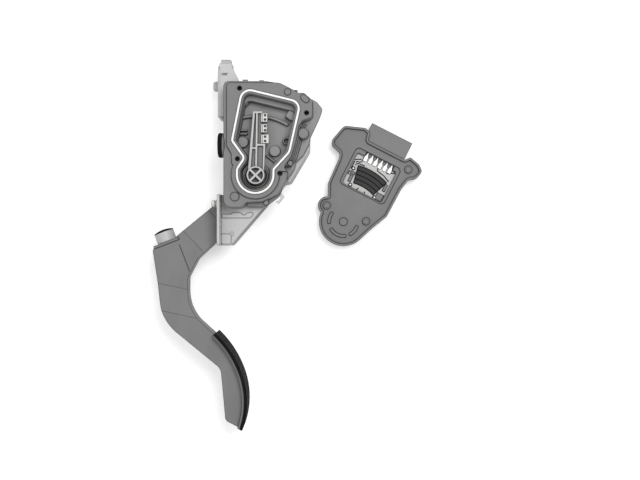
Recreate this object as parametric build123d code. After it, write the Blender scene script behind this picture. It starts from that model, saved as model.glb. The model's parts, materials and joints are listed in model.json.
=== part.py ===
from build123d import *
import math
import os

# Electronic accelerator pedal with its sensor cover taken off.
# The pedal lies on its side, so its pivot axis is vertical (Z) and the firewall side faces -X.
# All pieces are modelled about the pivot, with the bench at Z = 0, and moved to the frame's origin
# (the middle of the two upper firewall bolt holes) when they are written. Millimetres.

# Stack along the pivot axis, from the bench up
SHEET = 2.5
CHANNEL_WIDTH = 38.0
HOUSING_STEP = 9.0
HOUSING_HEIGHT = 23.0
HOUSING_FLOOR = 4.0
BORDER_DROP = 2.2
REAR_WEB_TOP = SHEET
FRONT_WEB_LOW = REAR_WEB_TOP + CHANNEL_WIDTH
WEB_FACE = FRONT_WEB_LOW + SHEET
STEP_TOP = WEB_FACE + HOUSING_STEP
SEAL_FACE = WEB_FACE + HOUSING_HEIGHT
CAVITY_FLOOR = WEB_FACE + HOUSING_FLOOR
CHANNEL_MIDDLE = REAR_WEB_TOP + CHANNEL_WIDTH / 2

# Firewall side of the bracket
WALL_X = -36.0
FLANGE_LOW = 55.0
FLANGE_TOP = 101.0
BOLT_Y = 66.0
BOLT_SPACING = 24.0
BOLT_HOLE = 8.5
LOWER_BOLT_Y = -44.0
LOWER_BOLT_HOLE = 6.6
FOOT_LOW = -63.3
FOOT_TOP = -17.0
FOOT_WIDTH = 17.0
UPPER_PEG_Y = 85.2
UPPER_PEG = 9.6
LOWER_PEG_Y = -25.2
LOWER_PEG = 6.4
PEG_REACH = 5.6

# Top tab and its weld nut
TAB_LEFT = -34.4
TAB_RIGHT = -22.7
TAB_TOP = 103.6
TAB_DEPTH = 21.0
NUT_ACROSS = 9.8
NUT_HEIGHT = 4.4
NUT_HOLE = 5.2
TAB_HOLE = 6.6

# Pivot
DRUM_RADIUS = 18.5
SPRING_HUB_RADIUS = 11.2
ARM_THICKNESS = 20.0
SHAFT = 18.0
REAR_JOURNAL = 12.0
RUNNING_CLEARANCE = 0.05
COLLAR_CLEARANCE = 0.7
SEAL_WALL = 1.9
SEAL_LIP = 2.0
LIP_CLEARANCE = 0.1
BUSH_WALL = 2.0
BUSH_FLANGE_WALL = 4.0
BUSH_FLANGE = 1.0
END_FLOAT = 0.3
DRIVE_PIN = 4.0
COLLAR_STEPS = [(12.6, 4.4), (10.9, 7.2)]

# Springs and cross pins
WIRE = 2.2
SPRING_WHOLE_TURNS = 2
SPRING_PITCH = 2.4
SPRING_START = 20.0
SPRING_BORE_GAP = 0.7
SPRING_SIDE_GAP = 0.4
SPRING_PEG = 4.4
PEG_DISTANCE = 30.0
PEG_GAP = 0.1
ANCHOR_PIN = 6.0
ANCHOR_REACH = 30.0
STOP_PIN = 5.0
STOP_SLEEVE_WALL = 2.0
STOP_DISTANCE = 52.5
STOP_GAP = 0.3
RIVET_SPIGOT = 4.0

# Pedal arm, along its two joggles towards the sensor side
ARM_RISE = 7.0
ARM_LENGTH = 240.0
UPPER_EDGE_SLOPE = 40.4
LOWER_EDGE_SLOPE = 42.7
UPPER_JOGGLE = (54.0, 83.5)
LOWER_JOGGLE = (115.0, 138.4)
LOWER_CREASE_ANGLE = 12.2
UPPER_CREASE_ANGLE = 46.5
ARM_WALL = 3.0
ARM_RIB = 2.2
RIB_PITCH = 21.0
RIB_ANGLES = (5.0, 68.0)
HOLLOW_START = 42.0
SMALLEST_POCKET = 60.0

# Pad, two tangent arcs in side view
PAD_THICKNESS = 2.6
PAD_WIDTH = 39.0
PAD_CENTRE = (-84.6, -205.4)
PAD_RADIUS = 75.2
PAD_UPPER_RADIUS = 93.6
PAD_LOW_ANGLE = -19.6
PAD_BLEND_ANGLE = 19.0
PAD_HIGH_ANGLE = 46.5
PAD_PLATE = 2.4
PAD_PLATE_INSET = 3.0
PAD_RIB = 0.9
PAD_RIB_COUNT = 6
PAD_RIB_SHARE = 0.68

# Bump stop on the knee of the arm
BUMP_X = -83.9
BUMP_Y = -59.8
BUMP_LEAN = 21.0
BUMP_DIAMETER = 18.5
BUMP_HEIGHT = 9.3
BUMP_WALL = 1.8
BUMP_FLOOR = 1.5
BUMP_RIM = 0.8
BUMP_DOME = 1.8
BUMP_LEDGE = 2.4
BUMP_LEDGE_WIDTH = 24.4
BUMP_LEDGE_PROUD = 1.0

# Sensor housing
HOUSING_LEFT = -28.6
HOUSING_TOP = 84.0
HOUSING_BOTTOM = -29.0
HOUSING_RIGHT = 51.2
LOBE_RIGHT = 60.4
BORDER = 3.0
COLLAR_RADIUS = 21.5
GASKET_WIDTH = 2.1
GASKET_DEPTH = 1.5
GASKET_STAND = 0.5
GASKET_HUB_RADIUS = 16.3
MARK_HEIGHT = 0.9
CAVITY_INSET = 3.0
LEDGE_DROP = 5.2
LEDGE_HEIGHT = 9.0
COVER_SCREWS = [(-14.0, 77.4), (45.9, 55.4), (-15.9, 14.3), (22.0, 1.3)]
COVER_SCREW_HOLE = 4.2
COVER_SCREW_DEPTH = 13.0
HOUSING_SCREWS = [(-12.2, 30.6), (16.9, 22.5), (43.0, 37.6), (-18.5, -19.4)]
HOUSING_SCREW = 4.0
HOUSING_SCREW_HEAD = 8.0
BOSS_RADIUS = 4.9
BUFFER_Y = 27.2
BUFFER = 22.4
BUFFER_THICKNESS = 3.9
BUFFER_SEAT = 1.6

# Rotor and wipers
ROTOR_HUB_RADIUS = 8.0
ROTOR_HUB_WALL = 1.4
ROTOR_SPOKE = 2.0
ROTOR_LOW = 12.0
ROTOR_THICKNESS = 4.5
ROTOR_HUB_HEIGHT = 7.0
ROTOR_TIP = 56.9
WIPER_THICKNESS = 0.6

# Sensor cover, modelled as it fits the housing, then turned over and laid beside it
COVER_HEIGHT = 14.0
COVER_RIM = 2.2
COVER_RIM_DEPTH = 2.4
COVER_HUB_RADIUS = 23.1
COVER_EAR_RADIUS = 8.4
COVER_X = 80.0
COVER_Y = -41.0
COVER_TURN = 139.0
WINDOW_DEPTH = 5.6
WINDOW_MARGINS = (3.0, 3.0, 1.6, 4.6)
BOARD_MARGINS = (4.0, 6.3, 3.4, 9.7)
BOARD_THICKNESS = 1.4
TRACK_THICKNESS = 0.5
TRACK_INNER = 38.4
TRACK_OUTER = 54.9
TRACK_COUNT = 4
TRACK_GAP = 0.5
TRACK_START = 64.0
TRACK_END = 97.0
CONNECTOR_WIDTH = 42.6
CONNECTOR_REACH = 14.3
CONNECTOR_WALL = 1.8
CONNECTOR_BACK = 1.5
CONNECTOR_ANGLE = -13.9
CONNECTOR_X = 16.5
CONNECTOR_Y = 79.4
CONNECTOR_ROOT = 4.0
PIN_COUNT = 6
PIN_PITCH = 5.9
PIN_LENGTH = 5.0
PIN_SIDE = 1.2
CONTACT_MIDDLE = -4.4
CONTACT_PITCH = 5.1
CONTACT_WIDTH = 3.3
CONTACT_NECK = 1.3
CONTACT_LENGTH = 8.3
CONTACT_THICKNESS = 1.2
CONTACT_GAP = 0.5
COMPONENT_HEIGHT = 0.9


def outline(*corners):
    """A flat outline from corners (x, y, radius)."""
    points = [(x, y) for x, y, _ in corners]
    radii = [radius for _, _, radius in corners]
    return make_face(FilletPolyline(*points, radius=radii, close=True).edges())


def slab(shape, low, high):
    """An outline made solid between two heights."""
    return extrude(Pos(0, 0, low) * shape, amount=high - low, dir=(0, 0, 1))


def disc(x, y, radius, low, high):
    """An upright cylinder between two heights."""
    return Pos(x, y, (low + high) / 2) * Cylinder(radius, high - low)


def block(left, right, front, back, low, high):
    """A box from its six sides."""
    middle = Pos((left + right) / 2, (front + back) / 2, (low + high) / 2)
    return middle * Box(right - left, back - front, high - low)


def rod(start, end, radius):
    """A round bar from one point to another."""
    start, end = Vector(*start), Vector(*end)
    return extrude(Plane(origin=start, z_dir=end - start) * Circle(radius), amount=(end - start).length)


def arc_band(inner, outer, start, end):
    """A flat band between two radii about the pivot, between two angles in degrees."""
    middle = (start + end) / 2
    low, mid, high = (math.radians(angle) for angle in (start, middle, end))
    edges = [
        ThreePointArc(*[(inner * math.cos(a), inner * math.sin(a)) for a in (low, mid, high)]),
        ThreePointArc(*[(outer * math.cos(a), outer * math.sin(a)) for a in (low, mid, high)]),
    ]
    for a in (low, high):
        edges.append(Line(*[(radius * math.cos(a), radius * math.sin(a)) for radius in (inner, outer)]))
    return make_face(edges)


# Outlines seen along the pivot axis


def web_outline(top):
    """One side web of the bracket, up to a given top edge."""
    return outline(
        (WALL_X, FLANGE_LOW, 2),
        (WALL_X, top, 1.5),
        (-22.7, top, 1),
        (-16.7, 88.7, 2),
        (-14.0, 80.0, 3),
        (10.0, 80.0, 6),
        (47.0, 68.0, 8),
        (48.8, 38.0, 12),
        (48.4, 24.5, 3),
        (31.0, -4.8, 4),
        (25.5, -6.0, 2),
        (-23.8, FOOT_LOW, 4),
        (WALL_X + 1, FOOT_LOW, 2),
        (WALL_X + 1, FOOT_TOP, 1),
        (HOUSING_LEFT + 2.6, FOOT_TOP, 1),
        (HOUSING_LEFT + 2.6, FLANGE_LOW, 1),
    )


def platform_outline():
    """The upper level of the sensor housing."""
    main = outline(
        (HOUSING_LEFT, HOUSING_TOP, 4.5),
        (9.7, HOUSING_TOP, 1),
        (22.4, 82.0, 8),
        (33.0, 76.6, 1),
        (38.0, 73.3, 1),
        (43.6, 73.3, 3),
        (HOUSING_RIGHT, 66.6, 2.5),
        (HOUSING_RIGHT, 51.4, 3.6),
        (42.4, 48.6, 3),
        (38.8, 43.6, 2),
        (36.5, 31.1, 12),
        (32.4, 16.8, 6),
        (25.6, 7.0, 2),
        (29.0, 2.5, 4),
        (27.4, -5.5, 2),
        (20.4, -17.2, 6),
        (6.4, HOUSING_BOTTOM + 5.2, 3),
        (-8.2, HOUSING_BOTTOM + 4.4, 1),
        (-12.7, HOUSING_BOTTOM, 2),
        (HOUSING_LEFT, HOUSING_BOTTOM, 7.2),
    )
    return main


def step_outline():
    """The lower level of the sensor housing, with the lobe at the right."""
    lobe = outline(
        (30.0, 69.0, 0),
        (51.0, 69.2, 1),
        (55.4, 66.6, 3),
        (LOBE_RIGHT, 60.4, 3),
        (57.9, 53.0, 6),
        (48.8, 34.0, 10),
        (48.2, 29.2, 3),
        (42.6, 18.4, 4),
        (35.6, 12.6, 2),
        (35.0, 6.8, 3),
        (27.6, -4.6, 2),
        (20.0, -10.0, 0),
    )
    sill = outline(
        (24.0, -12.0, 0),
        (20.6, -18.9, 3),
        (8.8, HOUSING_BOTTOM + 0.6, 2),
        (-8.6, HOUSING_BOTTOM + 1.0, 1),
        (-8.6, -20.0, 0),
        (10.0, -10.0, 0),
    )
    return platform_outline() + lobe + sill


def gasket_line():
    """The middle of the cover gasket."""
    hub = GASKET_HUB_RADIUS
    upper = outline(
        (-11.4, 77.4, 8.9),
        (40.4, 64.8, 8.0),
        (30.4, 20.3, 8.0),
        (hub, 4.8, 3.6),
        (hub, 0, 0),
        (-hub, 0, 0),
        (-hub, 5.2, 6.4),
        (-9.7, 15.2, 3.6),
        (-20.7, 30.6, 2.7),
    )
    return upper + Circle(hub)


def gasket_band(width):
    """A band of the given width along the gasket line."""
    return offset(gasket_line(), width / 2) - offset(gasket_line(), -width / 2)


def cavity_outline():
    """The mouth of the open sensor cavity."""
    return offset(gasket_line(), -CAVITY_INSET)


def cover_outline():
    """The rim of the sensor cover, as it fits the housing."""
    main = outline(
        (58.7, 47.4, 6),
        (59.0, 68.8, 6),
        (42.0, 80.6, 4),
        (36.0, 80.0, 2.5),
        (32.4, 72.8, 2.2),
        (-5.6, 82.2, 2),
        (-7.8, 87.4, 2),
        (-18.4, 87.6, 5),
        (-25.6, 84.6, 5),
        (-25.4, 75.6, 5),
        (-20.6, 70.0, 4),
        (-21.2, 58.6, 6),
        (-27.8, 30.4, 5),
        (-24.6, 12.4, 6),
        (-COVER_HUB_RADIUS, -1.0, 0),
        (10.0, -5.0, 0),
        (26.4, 8.0, 0),
        (34.9, 18.0, 3),
        (42.2, 41.8, 6),
        (45.0, 47.0, 4),
    )
    ear = Pos(*COVER_SCREWS[3]) * Circle(COVER_EAR_RADIUS)
    return main + Circle(COVER_HUB_RADIUS) + ear


def cover_bosses():
    """The screw places that have a boss inside the cover."""
    return [COVER_SCREWS[0], COVER_SCREWS[2], COVER_SCREWS[3]]


# Bracket


def bracket_channel():
    """The folded channel: two webs joined by the firewall flange."""
    front = slab(web_outline(FLANGE_TOP), FRONT_WEB_LOW, WEB_FACE)
    rear = slab(web_outline(FLANGE_TOP - 12.0), 0, REAR_WEB_TOP)
    section = RectangleRounded(2 * SHEET + 9.0, WEB_FACE, SHEET + 1.0)
    inner = RectangleRounded(9.0, CHANNEL_WIDTH, 1.0)
    profile = Plane.XZ * Pos(WALL_X + SHEET + 4.5, WEB_FACE / 2) * (section - inner)
    flange = extrude(profile, amount=FLANGE_TOP - FLANGE_LOW, dir=(0, 1, 0))
    flange = Pos(0, FLANGE_LOW, 0) * flange
    flange &= block(WALL_X, WALL_X + SHEET + 3.0, FLANGE_LOW, FLANGE_TOP, 0, WEB_FACE)
    corners = block(WALL_X - 1, WALL_X + SHEET + 3.0, FLANGE_LOW, FLANGE_TOP, -1, WEB_FACE + 1)
    return (front - corners) + (rear - corners) + flange


def mounting_bracket():
    """The bracket with its tab, foot flange, pressed pads and holes."""
    body = bracket_channel()
    tab_low = WEB_FACE - TAB_DEPTH
    body += block(TAB_LEFT, TAB_RIGHT, TAB_TOP - SHEET, TAB_TOP, tab_low, WEB_FACE)
    body += block(TAB_LEFT, TAB_RIGHT, FLANGE_TOP - 2.0, TAB_TOP - SHEET, FRONT_WEB_LOW, WEB_FACE)
    foot = block(WALL_X + 1, WALL_X + 1 + SHEET, FOOT_LOW, FOOT_TOP, FRONT_WEB_LOW, WEB_FACE + FOOT_WIDTH)
    foot = fillet(foot.edges().filter_by(Axis.X).group_by(Axis.Z)[-1], 3.0)
    body += foot
    bead = outline(
        (-31.5, -38.0, 0),
        (-31.5, -34.8, 0),
        (-22.9, -34.8, 0.5),
        (-22.4, -33.4, 0.5),
        (-15.0, -33.4, 1),
        (-12.8, -35.6, 1),
        (-10.2, -35.6, 1),
        (-8.0, -33.3, 1),
        (-2.5, -33.3, 1),
        (-5.5, -38.0, 2.5),
    )
    body += slab(bead, WEB_FACE - 0.5, WEB_FACE + 1.2)
    pad = Pos(-28.0, -57.4) * RectangleRounded(9.0, 9.0, 1.8)
    body += slab(pad, WEB_FACE - 0.5, WEB_FACE + 1.2)
    return body - bracket_holes()


def bracket_holes():
    """Every hole in the bracket."""
    through = SHEET + 4.0
    holes = disc(0, 0, SHAFT / 2 + RUNNING_CLEARANCE + BUSH_WALL, FRONT_WEB_LOW - 1, WEB_FACE + 1)
    holes += disc(0, 0, REAR_JOURNAL / 2 + RUNNING_CLEARANCE + BUSH_WALL, -1, REAR_WEB_TOP + 1)
    for side in (-1, 1):
        at = (WALL_X - 1, BOLT_Y, CHANNEL_MIDDLE + side * BOLT_SPACING / 2)
        holes += rod(at, (at[0] + through, at[1], at[2]), BOLT_HOLE / 2)
    peg = (WALL_X - 1, UPPER_PEG_Y, CHANNEL_MIDDLE)
    holes += rod(peg, (peg[0] + through, peg[1], peg[2]), UPPER_PEG / 4)
    lower_peg = (WALL_X - 1, LOWER_PEG_Y, WEB_FACE + FOOT_WIDTH / 2)
    holes += rod(lower_peg, (lower_peg[0] + through, lower_peg[1], lower_peg[2]), LOWER_PEG / 4)
    bolt = (WALL_X - 1, LOWER_BOLT_Y, WEB_FACE + FOOT_WIDTH / 2)
    holes += rod(bolt, (bolt[0] + through, bolt[1], bolt[2]), LOWER_BOLT_HOLE / 2)
    holes += nut_bore(TAB_HOLE / 2)
    for x, y in (anchor_place(), stop_place()):
        holes += disc(x, y, RIVET_SPIGOT / 2, -1, WEB_FACE + 1)
    for x, y in HOUSING_SCREWS[:3]:
        holes += disc(x, y, HOUSING_SCREW / 2, FRONT_WEB_LOW - 1, WEB_FACE + 1)
    slot = Pos(-28.9, 93.5) * SlotOverall(7.0, 1.9)
    holes += slab(slot, FRONT_WEB_LOW - 1, WEB_FACE + 1)
    return holes


def nut_place():
    """Where the weld nut's axis crosses the top of the tab."""
    return (TAB_LEFT + TAB_RIGHT) / 2, TAB_TOP, WEB_FACE - TAB_DEPTH / 2


def nut_bore(radius):
    """The upright-in-use hole through the tab and its nut."""
    x, y, z = nut_place()
    return rod((x, y - SHEET - 1, z), (x, y + NUT_HEIGHT + 1, z), radius)


def weld_nut():
    """The square nut on the top tab."""
    x, y, z = nut_place()
    half = NUT_ACROSS / 2
    nut = block(x - half, x + half, y, y + NUT_HEIGHT, z - half, z + half)
    nut = chamfer(nut.edges().group_by(Axis.Y)[-1], 0.9)
    return nut - nut_bore(NUT_HOLE / 2)


def locating_peg(face_x, y, z, size):
    """A round-nosed plastic peg pushed into a hole of half its size."""
    radius = size / 2
    nose = face_x - PEG_REACH + radius * 0.6
    stem = rod((face_x + SHEET + 0.8, y, z), (face_x, y, z), size / 4)
    head = rod((face_x, y, z), (nose, y, z), radius)
    ball = Pos(nose, y, z) * Sphere(radius)
    ball &= block(face_x - PEG_REACH, nose, y - radius, y + radius, z - radius, z + radius)
    return stem + head + ball


def upper_locating_peg():
    """The peg in the firewall flange."""
    return locating_peg(WALL_X, UPPER_PEG_Y, CHANNEL_MIDDLE, UPPER_PEG)


def lower_locating_peg():
    """The white peg in the foot flange, with its groove."""
    z = WEB_FACE + FOOT_WIDTH / 2
    peg = locating_peg(WALL_X + 1, LOWER_PEG_Y, z, LOWER_PEG)
    groove_x = WALL_X - 1.4
    ring = rod((groove_x, LOWER_PEG_Y, z), (groove_x + 0.8, LOWER_PEG_Y, z), LOWER_PEG)
    ring -= rod((groove_x, LOWER_PEG_Y, z), (groove_x + 0.8, LOWER_PEG_Y, z), LOWER_PEG / 2 - 0.7)
    return peg - ring


# Pivot bushes, cross pins and springs


def bush(journal, web_low, flange_side):
    """A flanged bush in one web; the flange faces the drum."""
    bore = journal / 2 + RUNNING_CLEARANCE
    body = disc(0, 0, bore + BUSH_WALL, web_low, web_low + SHEET)
    if flange_side > 0:
        body += disc(0, 0, bore + BUSH_FLANGE_WALL, web_low + SHEET, web_low + SHEET + BUSH_FLANGE)
    else:
        body += disc(0, 0, bore + BUSH_FLANGE_WALL, web_low - BUSH_FLANGE, web_low)
    return body - disc(0, 0, bore, web_low - 2 * BUSH_FLANGE, web_low + SHEET + 2 * BUSH_FLANGE)


def front_bush():
    """The bush in the web under the sensor housing."""
    return bush(SHAFT, FRONT_WEB_LOW, -1)


def rear_bush():
    """The bush in the web on the bench side."""
    return bush(REAR_JOURNAL, 0, 1)


def cross_pin(place, size):
    """A shouldered pin riveted flush between the two webs."""
    x, y = place
    shoulder = disc(x, y, size / 2, REAR_WEB_TOP, FRONT_WEB_LOW)
    return shoulder + disc(x, y, RIVET_SPIGOT / 2, 0.2, WEB_FACE)


def lower_edge_point(distance, beyond):
    """A point beside the arm's lower edge: so far from the pivot along it, so far outside it."""
    slope = math.radians(180 + LOWER_EDGE_SLOPE)
    along = (math.cos(slope), math.sin(slope))
    outside = (-along[1], along[0])
    reach = DRUM_RADIUS + beyond
    return distance * along[0] + reach * outside[0], distance * along[1] + reach * outside[1]


def anchor_place():
    """The pin that the springs' fixed legs push against."""
    outwards, leg = spring_start()
    place = outwards * (spring_radius() + WIRE / 2 + ANCHOR_PIN / 2) + leg * ANCHOR_REACH
    return place.X, place.Y


def stop_place():
    """The pin whose rubber sleeve the arm rests on."""
    return lower_edge_point(STOP_DISTANCE, STOP_GAP + STOP_PIN / 2 + STOP_SLEEVE_WALL)


def stop_sleeve():
    """The rubber sleeve that the arm rests against when it is let go."""
    x, y = stop_place()
    low = CHANNEL_MIDDLE - ARM_THICKNESS / 2 - 1.0
    high = CHANNEL_MIDDLE + ARM_THICKNESS / 2 + 1.0
    sleeve = disc(x, y, STOP_PIN / 2 + STOP_SLEEVE_WALL, low, high)
    return sleeve - disc(x, y, STOP_PIN / 2, low - 1, high + 1)


def spring_radius():
    """Mean radius of both return springs."""
    return SPRING_HUB_RADIUS + SPRING_BORE_GAP + WIRE / 2


def spring_start():
    """Unit vectors from the pivot to the start of the coil, and along the fixed leg from there."""
    turn = math.radians(SPRING_START)
    return Vector(math.cos(turn), math.sin(turn), 0), Vector(-math.sin(turn), math.cos(turn), 0)


def arm_direction():
    """Unit vector from the pivot along the arm's upper edge, and its upper-left normal."""
    turn = math.radians(180 + UPPER_EDGE_SLOPE)
    return Vector(math.cos(turn), math.sin(turn), 0), Vector(math.sin(turn), -math.cos(turn), 0)


def rear_return_spring():
    """A torsion spring: coils about the drum's hub, a fixed leg and an arm leg."""
    turns = SPRING_WHOLE_TURNS + (SPRING_START + 90 - UPPER_EDGE_SLOPE) / 360
    path = Helix(pitch=SPRING_PITCH, height=turns * SPRING_PITCH, radius=spring_radius(), lefthand=True)
    path = Rot(0, 0, SPRING_START) * path
    coil = sweep(Plane(origin=path @ 0, z_dir=path % 0) * Circle(WIRE / 2), path=path)
    start = path @ 0
    end = path @ 1
    fixed = rod(start, start + spring_start()[1] * (ANCHOR_REACH + ANCHOR_PIN), WIRE / 2)
    moving = rod(end, end + arm_direction()[0] * (PEG_DISTANCE + 2 * SPRING_PEG), WIRE / 2)
    body = coil + fixed + moving + Pos(*start) * Sphere(WIRE / 2) + Pos(*end) * Sphere(WIRE / 2)
    top = arm_low() - SPRING_SIDE_GAP - WIRE / 2
    return Pos(0, 0, top - end.Z) * body


def front_return_spring():
    """The second spring, mirrored across the middle of the channel."""
    return mirror(rear_return_spring(), about=Plane.XY.offset(CHANNEL_MIDDLE))


def spring_pegs():
    """Pegs on both flanks of the arm that the springs' arm legs push on."""
    along, outward = arm_direction()
    place = along * PEG_DISTANCE - outward * (spring_radius() + WIRE / 2 + SPRING_PEG / 2 + PEG_GAP)
    reach = WIRE + SPRING_SIDE_GAP + 0.6
    return disc(place.X, place.Y, SPRING_PEG / 2, arm_low() - reach, arm_low() + ARM_THICKNESS + reach)


# Sensor housing


def housing_blank():
    """The outer form of the housing, without its cavity."""
    body = slab(step_outline(), WEB_FACE, STEP_TOP)
    body += slab(platform_outline(), STEP_TOP, SEAL_FACE - BORDER_DROP)
    inner_left = HOUSING_LEFT + BORDER
    raised = outline(
        (inner_left, HOUSING_TOP - 1.6, 3.5),
        (70.0, HOUSING_TOP - 1.6, 0),
        (70.0, 3.0, 0),
        (14.0, 3.0, 0),
        (-14.0, 3.0, 0),
        (-21.0, 10.0, 1),
        (-21.4, 19.0, 3),
        (inner_left, 26.0, 2),
    )
    top = platform_outline() & (raised + Circle(COLLAR_RADIUS))
    return body + slab(top, SEAL_FACE - BORDER_DROP, SEAL_FACE)


def housing_details():
    """Tabs, bosses and ribs outside the cavity."""
    body = block(-11.4, -6.9, HOUSING_TOP - 1, HOUSING_TOP + 1.4, SEAL_FACE - 8, SEAL_FACE - BORDER_DROP)
    body += block(3.4, 7.4, HOUSING_TOP - 1, HOUSING_TOP + 0.8, SEAL_FACE - 8, SEAL_FACE - BORDER_DROP)
    body += block(34.8, 37.8, 73.0, 76.2, SEAL_FACE - 8, SEAL_FACE - BORDER_DROP)
    x, y = HOUSING_SCREWS[2]
    body += disc(x, y, BOSS_RADIUS, STEP_TOP - 1, STEP_TOP + 2 * MARK_HEIGHT)
    body += disc(31.3, 11.3, 2.4, STEP_TOP - 1, STEP_TOP + MARK_HEIGHT)
    body += disc(28.9, 74.0, 2.9, SEAL_FACE - 1, SEAL_FACE + MARK_HEIGHT)
    x, y = HOUSING_SCREWS[3]
    body += disc(x, y, 3.9, SEAL_FACE - 4, SEAL_FACE - BORDER_DROP + MARK_HEIGHT)
    oval = Pos(44.4, 68.0) * Rot(0, 0, -42) * SlotOverall(8.4, 5.2)
    body += slab(oval, SEAL_FACE - 1, SEAL_FACE + MARK_HEIGHT)
    body += block(7.5, 11.2, -26.6, -19.0, STEP_TOP - 1, STEP_TOP + 7)
    for drop in (3.5, 7.0, 10.5):
        shelf = Pos(drop * 0.42, -drop * 0.1) * platform_outline()
        shelf &= outline((36.0, 46.0, 0), (52.0, 46.0, 0), (38.0, 8.0, 0), (22.0, 8.0, 0))
        body += slab(shelf, STEP_TOP - 1, SEAL_FACE - drop)
    return body - side_notches()


def side_notches():
    """The two shallow notches in the left edge of the upper level."""
    notches = Part()
    for low, high in ((4.4, 8.9), (-12.2, -6.4)):
        notches += block(HOUSING_LEFT - 2, HOUSING_LEFT + 1.1, low, high, STEP_TOP, SEAL_FACE)
    return notches


def buffer_seat():
    """The round boss on the firewall side that carries the rubber buffer."""
    z = SEAL_FACE - HOUSING_HEIGHT / 2
    return rod((HOUSING_LEFT + 0.5, BUFFER_Y, z), (HOUSING_LEFT - BUFFER_SEAT, BUFFER_Y, z), BUFFER / 2 - 0.3)


def cavity():
    """The hollow that the rotor swings in, with its inner ledge."""
    mouth = cavity_outline()
    ledge = mouth & (Pos(0, -LEDGE_DROP) * mouth + cavity_hub())
    upper = slab(mouth, CAVITY_FLOOR + LEDGE_HEIGHT, SEAL_FACE + 1)
    return upper + slab(ledge, CAVITY_FLOOR, SEAL_FACE)


def cavity_hub():
    """The round end of the cavity about the pivot."""
    return Circle(GASKET_HUB_RADIUS - CAVITY_INSET)


def cavity_ribs():
    """Bosses, ribs and clips that stand on the cavity floor."""
    low = CAVITY_FLOOR - 1
    body = disc(*HOUSING_SCREWS[0], BOSS_RADIUS, low, CAVITY_FLOOR + 5)
    body += disc(*HOUSING_SCREWS[1], BOSS_RADIUS, low, CAVITY_FLOOR + 5)
    guide = arc_band(53.2, 55.4, 58.0, 106.0)
    body += slab(guide, low, CAVITY_FLOOR + 4.6)
    body += block(-20.0, -8.0, 37.4, 38.8, low, CAVITY_FLOOR + 5)
    body += block(-20.0, -8.0, 40.6, 42.0, low, CAVITY_FLOOR + 5)
    brace = outline((8.4, 18.4, 0), (9.8, 19.4, 0), (19.0, 12.0, 0), (18.0, 10.8, 0))
    body += slab(brace, low, CAVITY_FLOOR + 3)
    left_clip = outline(
        (-13.0, 68.2, 0),
        (-6.8, 68.4, 1.2),
        (-6.8, 65.4, 1.2),
        (-10.0, 62.6, 1),
        (-13.5, 61.0, 0),
    )
    body += slab(left_clip, low, CAVITY_FLOOR + 8)
    right_clip = outline((33.0, 63.0, 0), (28.0, 56.2, 1), (26.6, 53.6, 1), (31.0, 50.2, 1), (36.0, 50.0, 0))
    body += slab(right_clip, low, CAVITY_FLOOR + 8)
    hook = Pos(27.4, 31.6) * (Circle(3.4) - Circle(2.2))
    hook -= Pos(30.4, 31.6) * Rectangle(3.0, 2.4)
    hook += Pos(31.0, 34.4) * Rectangle(6.0, 1.3)
    body += slab(hook, low, CAVITY_FLOOR + 6)
    return body & slab(cavity_outline(), low, SEAL_FACE)


def hub_rings():
    """The stepped collar round the shaft in the cavity floor."""
    rings = Part()
    for radius, height in COLLAR_STEPS:
        rings += disc(0, 0, radius, CAVITY_FLOOR - 1, CAVITY_FLOOR + height)
    return rings


def sensor_housing():
    """The moulded housing bolted to the bracket, open to the cover side."""
    body = housing_blank() + housing_details() + buffer_seat()
    body -= cavity()
    body += cavity_ribs() + hub_rings()
    body -= slab(gasket_band(GASKET_WIDTH), SEAL_FACE - GASKET_DEPTH, SEAL_FACE + 2)
    for x, y in COVER_SCREWS:
        body -= disc(x, y, COVER_SCREW_HOLE / 2, SEAL_FACE - COVER_SCREW_DEPTH, SEAL_FACE + 1)
    for index, (x, y) in enumerate(HOUSING_SCREWS[:3]):
        body -= disc(x, y, HOUSING_SCREW / 2, WEB_FACE - 1, screw_top(index))
    body -= disc(0, 0, SHAFT / 2 + COLLAR_CLEARANCE, WEB_FACE - 1, CAVITY_FLOOR + 8)
    body -= disc(0, 0, SHAFT / 2 + SEAL_WALL, WEB_FACE - 1, CAVITY_FLOOR)
    return body - harness_clip()


def screw_top(index):
    """How high a housing screw reaches."""
    return (CAVITY_FLOOR + 3.5) if index < 2 else STEP_TOP - 1.0


def housing_gasket():
    """The white seal in its groove."""
    return slab(gasket_band(GASKET_WIDTH), SEAL_FACE - GASKET_DEPTH, SEAL_FACE + GASKET_STAND)


def wall_buffer():
    """The rubber buffer that rests against the firewall."""
    z = SEAL_FACE - HOUSING_HEIGHT / 2
    start = HOUSING_LEFT - BUFFER_SEAT
    buffer = rod((start, BUFFER_Y, z), (start - BUFFER_THICKNESS, BUFFER_Y, z), BUFFER / 2)
    return fillet(buffer.edges().group_by(Axis.X)[0], 1.6)


def harness_clip():
    """The small white clip on the lower right side."""
    hook = outline(
        (16.0, -14.0, 0),
        (22.6, -15.6, 0.6),
        (25.6, -19.0, 0.8),
        (20.4, -25.4, 1.0),
        (17.6, -24.0, 0.8),
        (18.8, -22.6, 0.4),
        (20.2, -22.9, 0.4),
        (22.4, -19.2, 0.4),
        (20.4, -18.0, 0.4),
        (16.0, -17.0, 0),
    )
    return slab(hook, WEB_FACE + 1.5, WEB_FACE + 6.0)


def housing_screw(index):
    """A pan-head screw from inside the bracket channel into the housing."""
    x, y = HOUSING_SCREWS[index]
    head = disc(x, y, HOUSING_SCREW_HEAD / 2, FRONT_WEB_LOW - 2.6, FRONT_WEB_LOW)
    head = fillet(head.edges().group_by(Axis.Z)[0], 1.0)
    return head + disc(x, y, HOUSING_SCREW / 2, FRONT_WEB_LOW, screw_top(index))


def housing_screws():
    """The three screws that hold the housing."""
    return [housing_screw(index) for index in range(3)]


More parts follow.
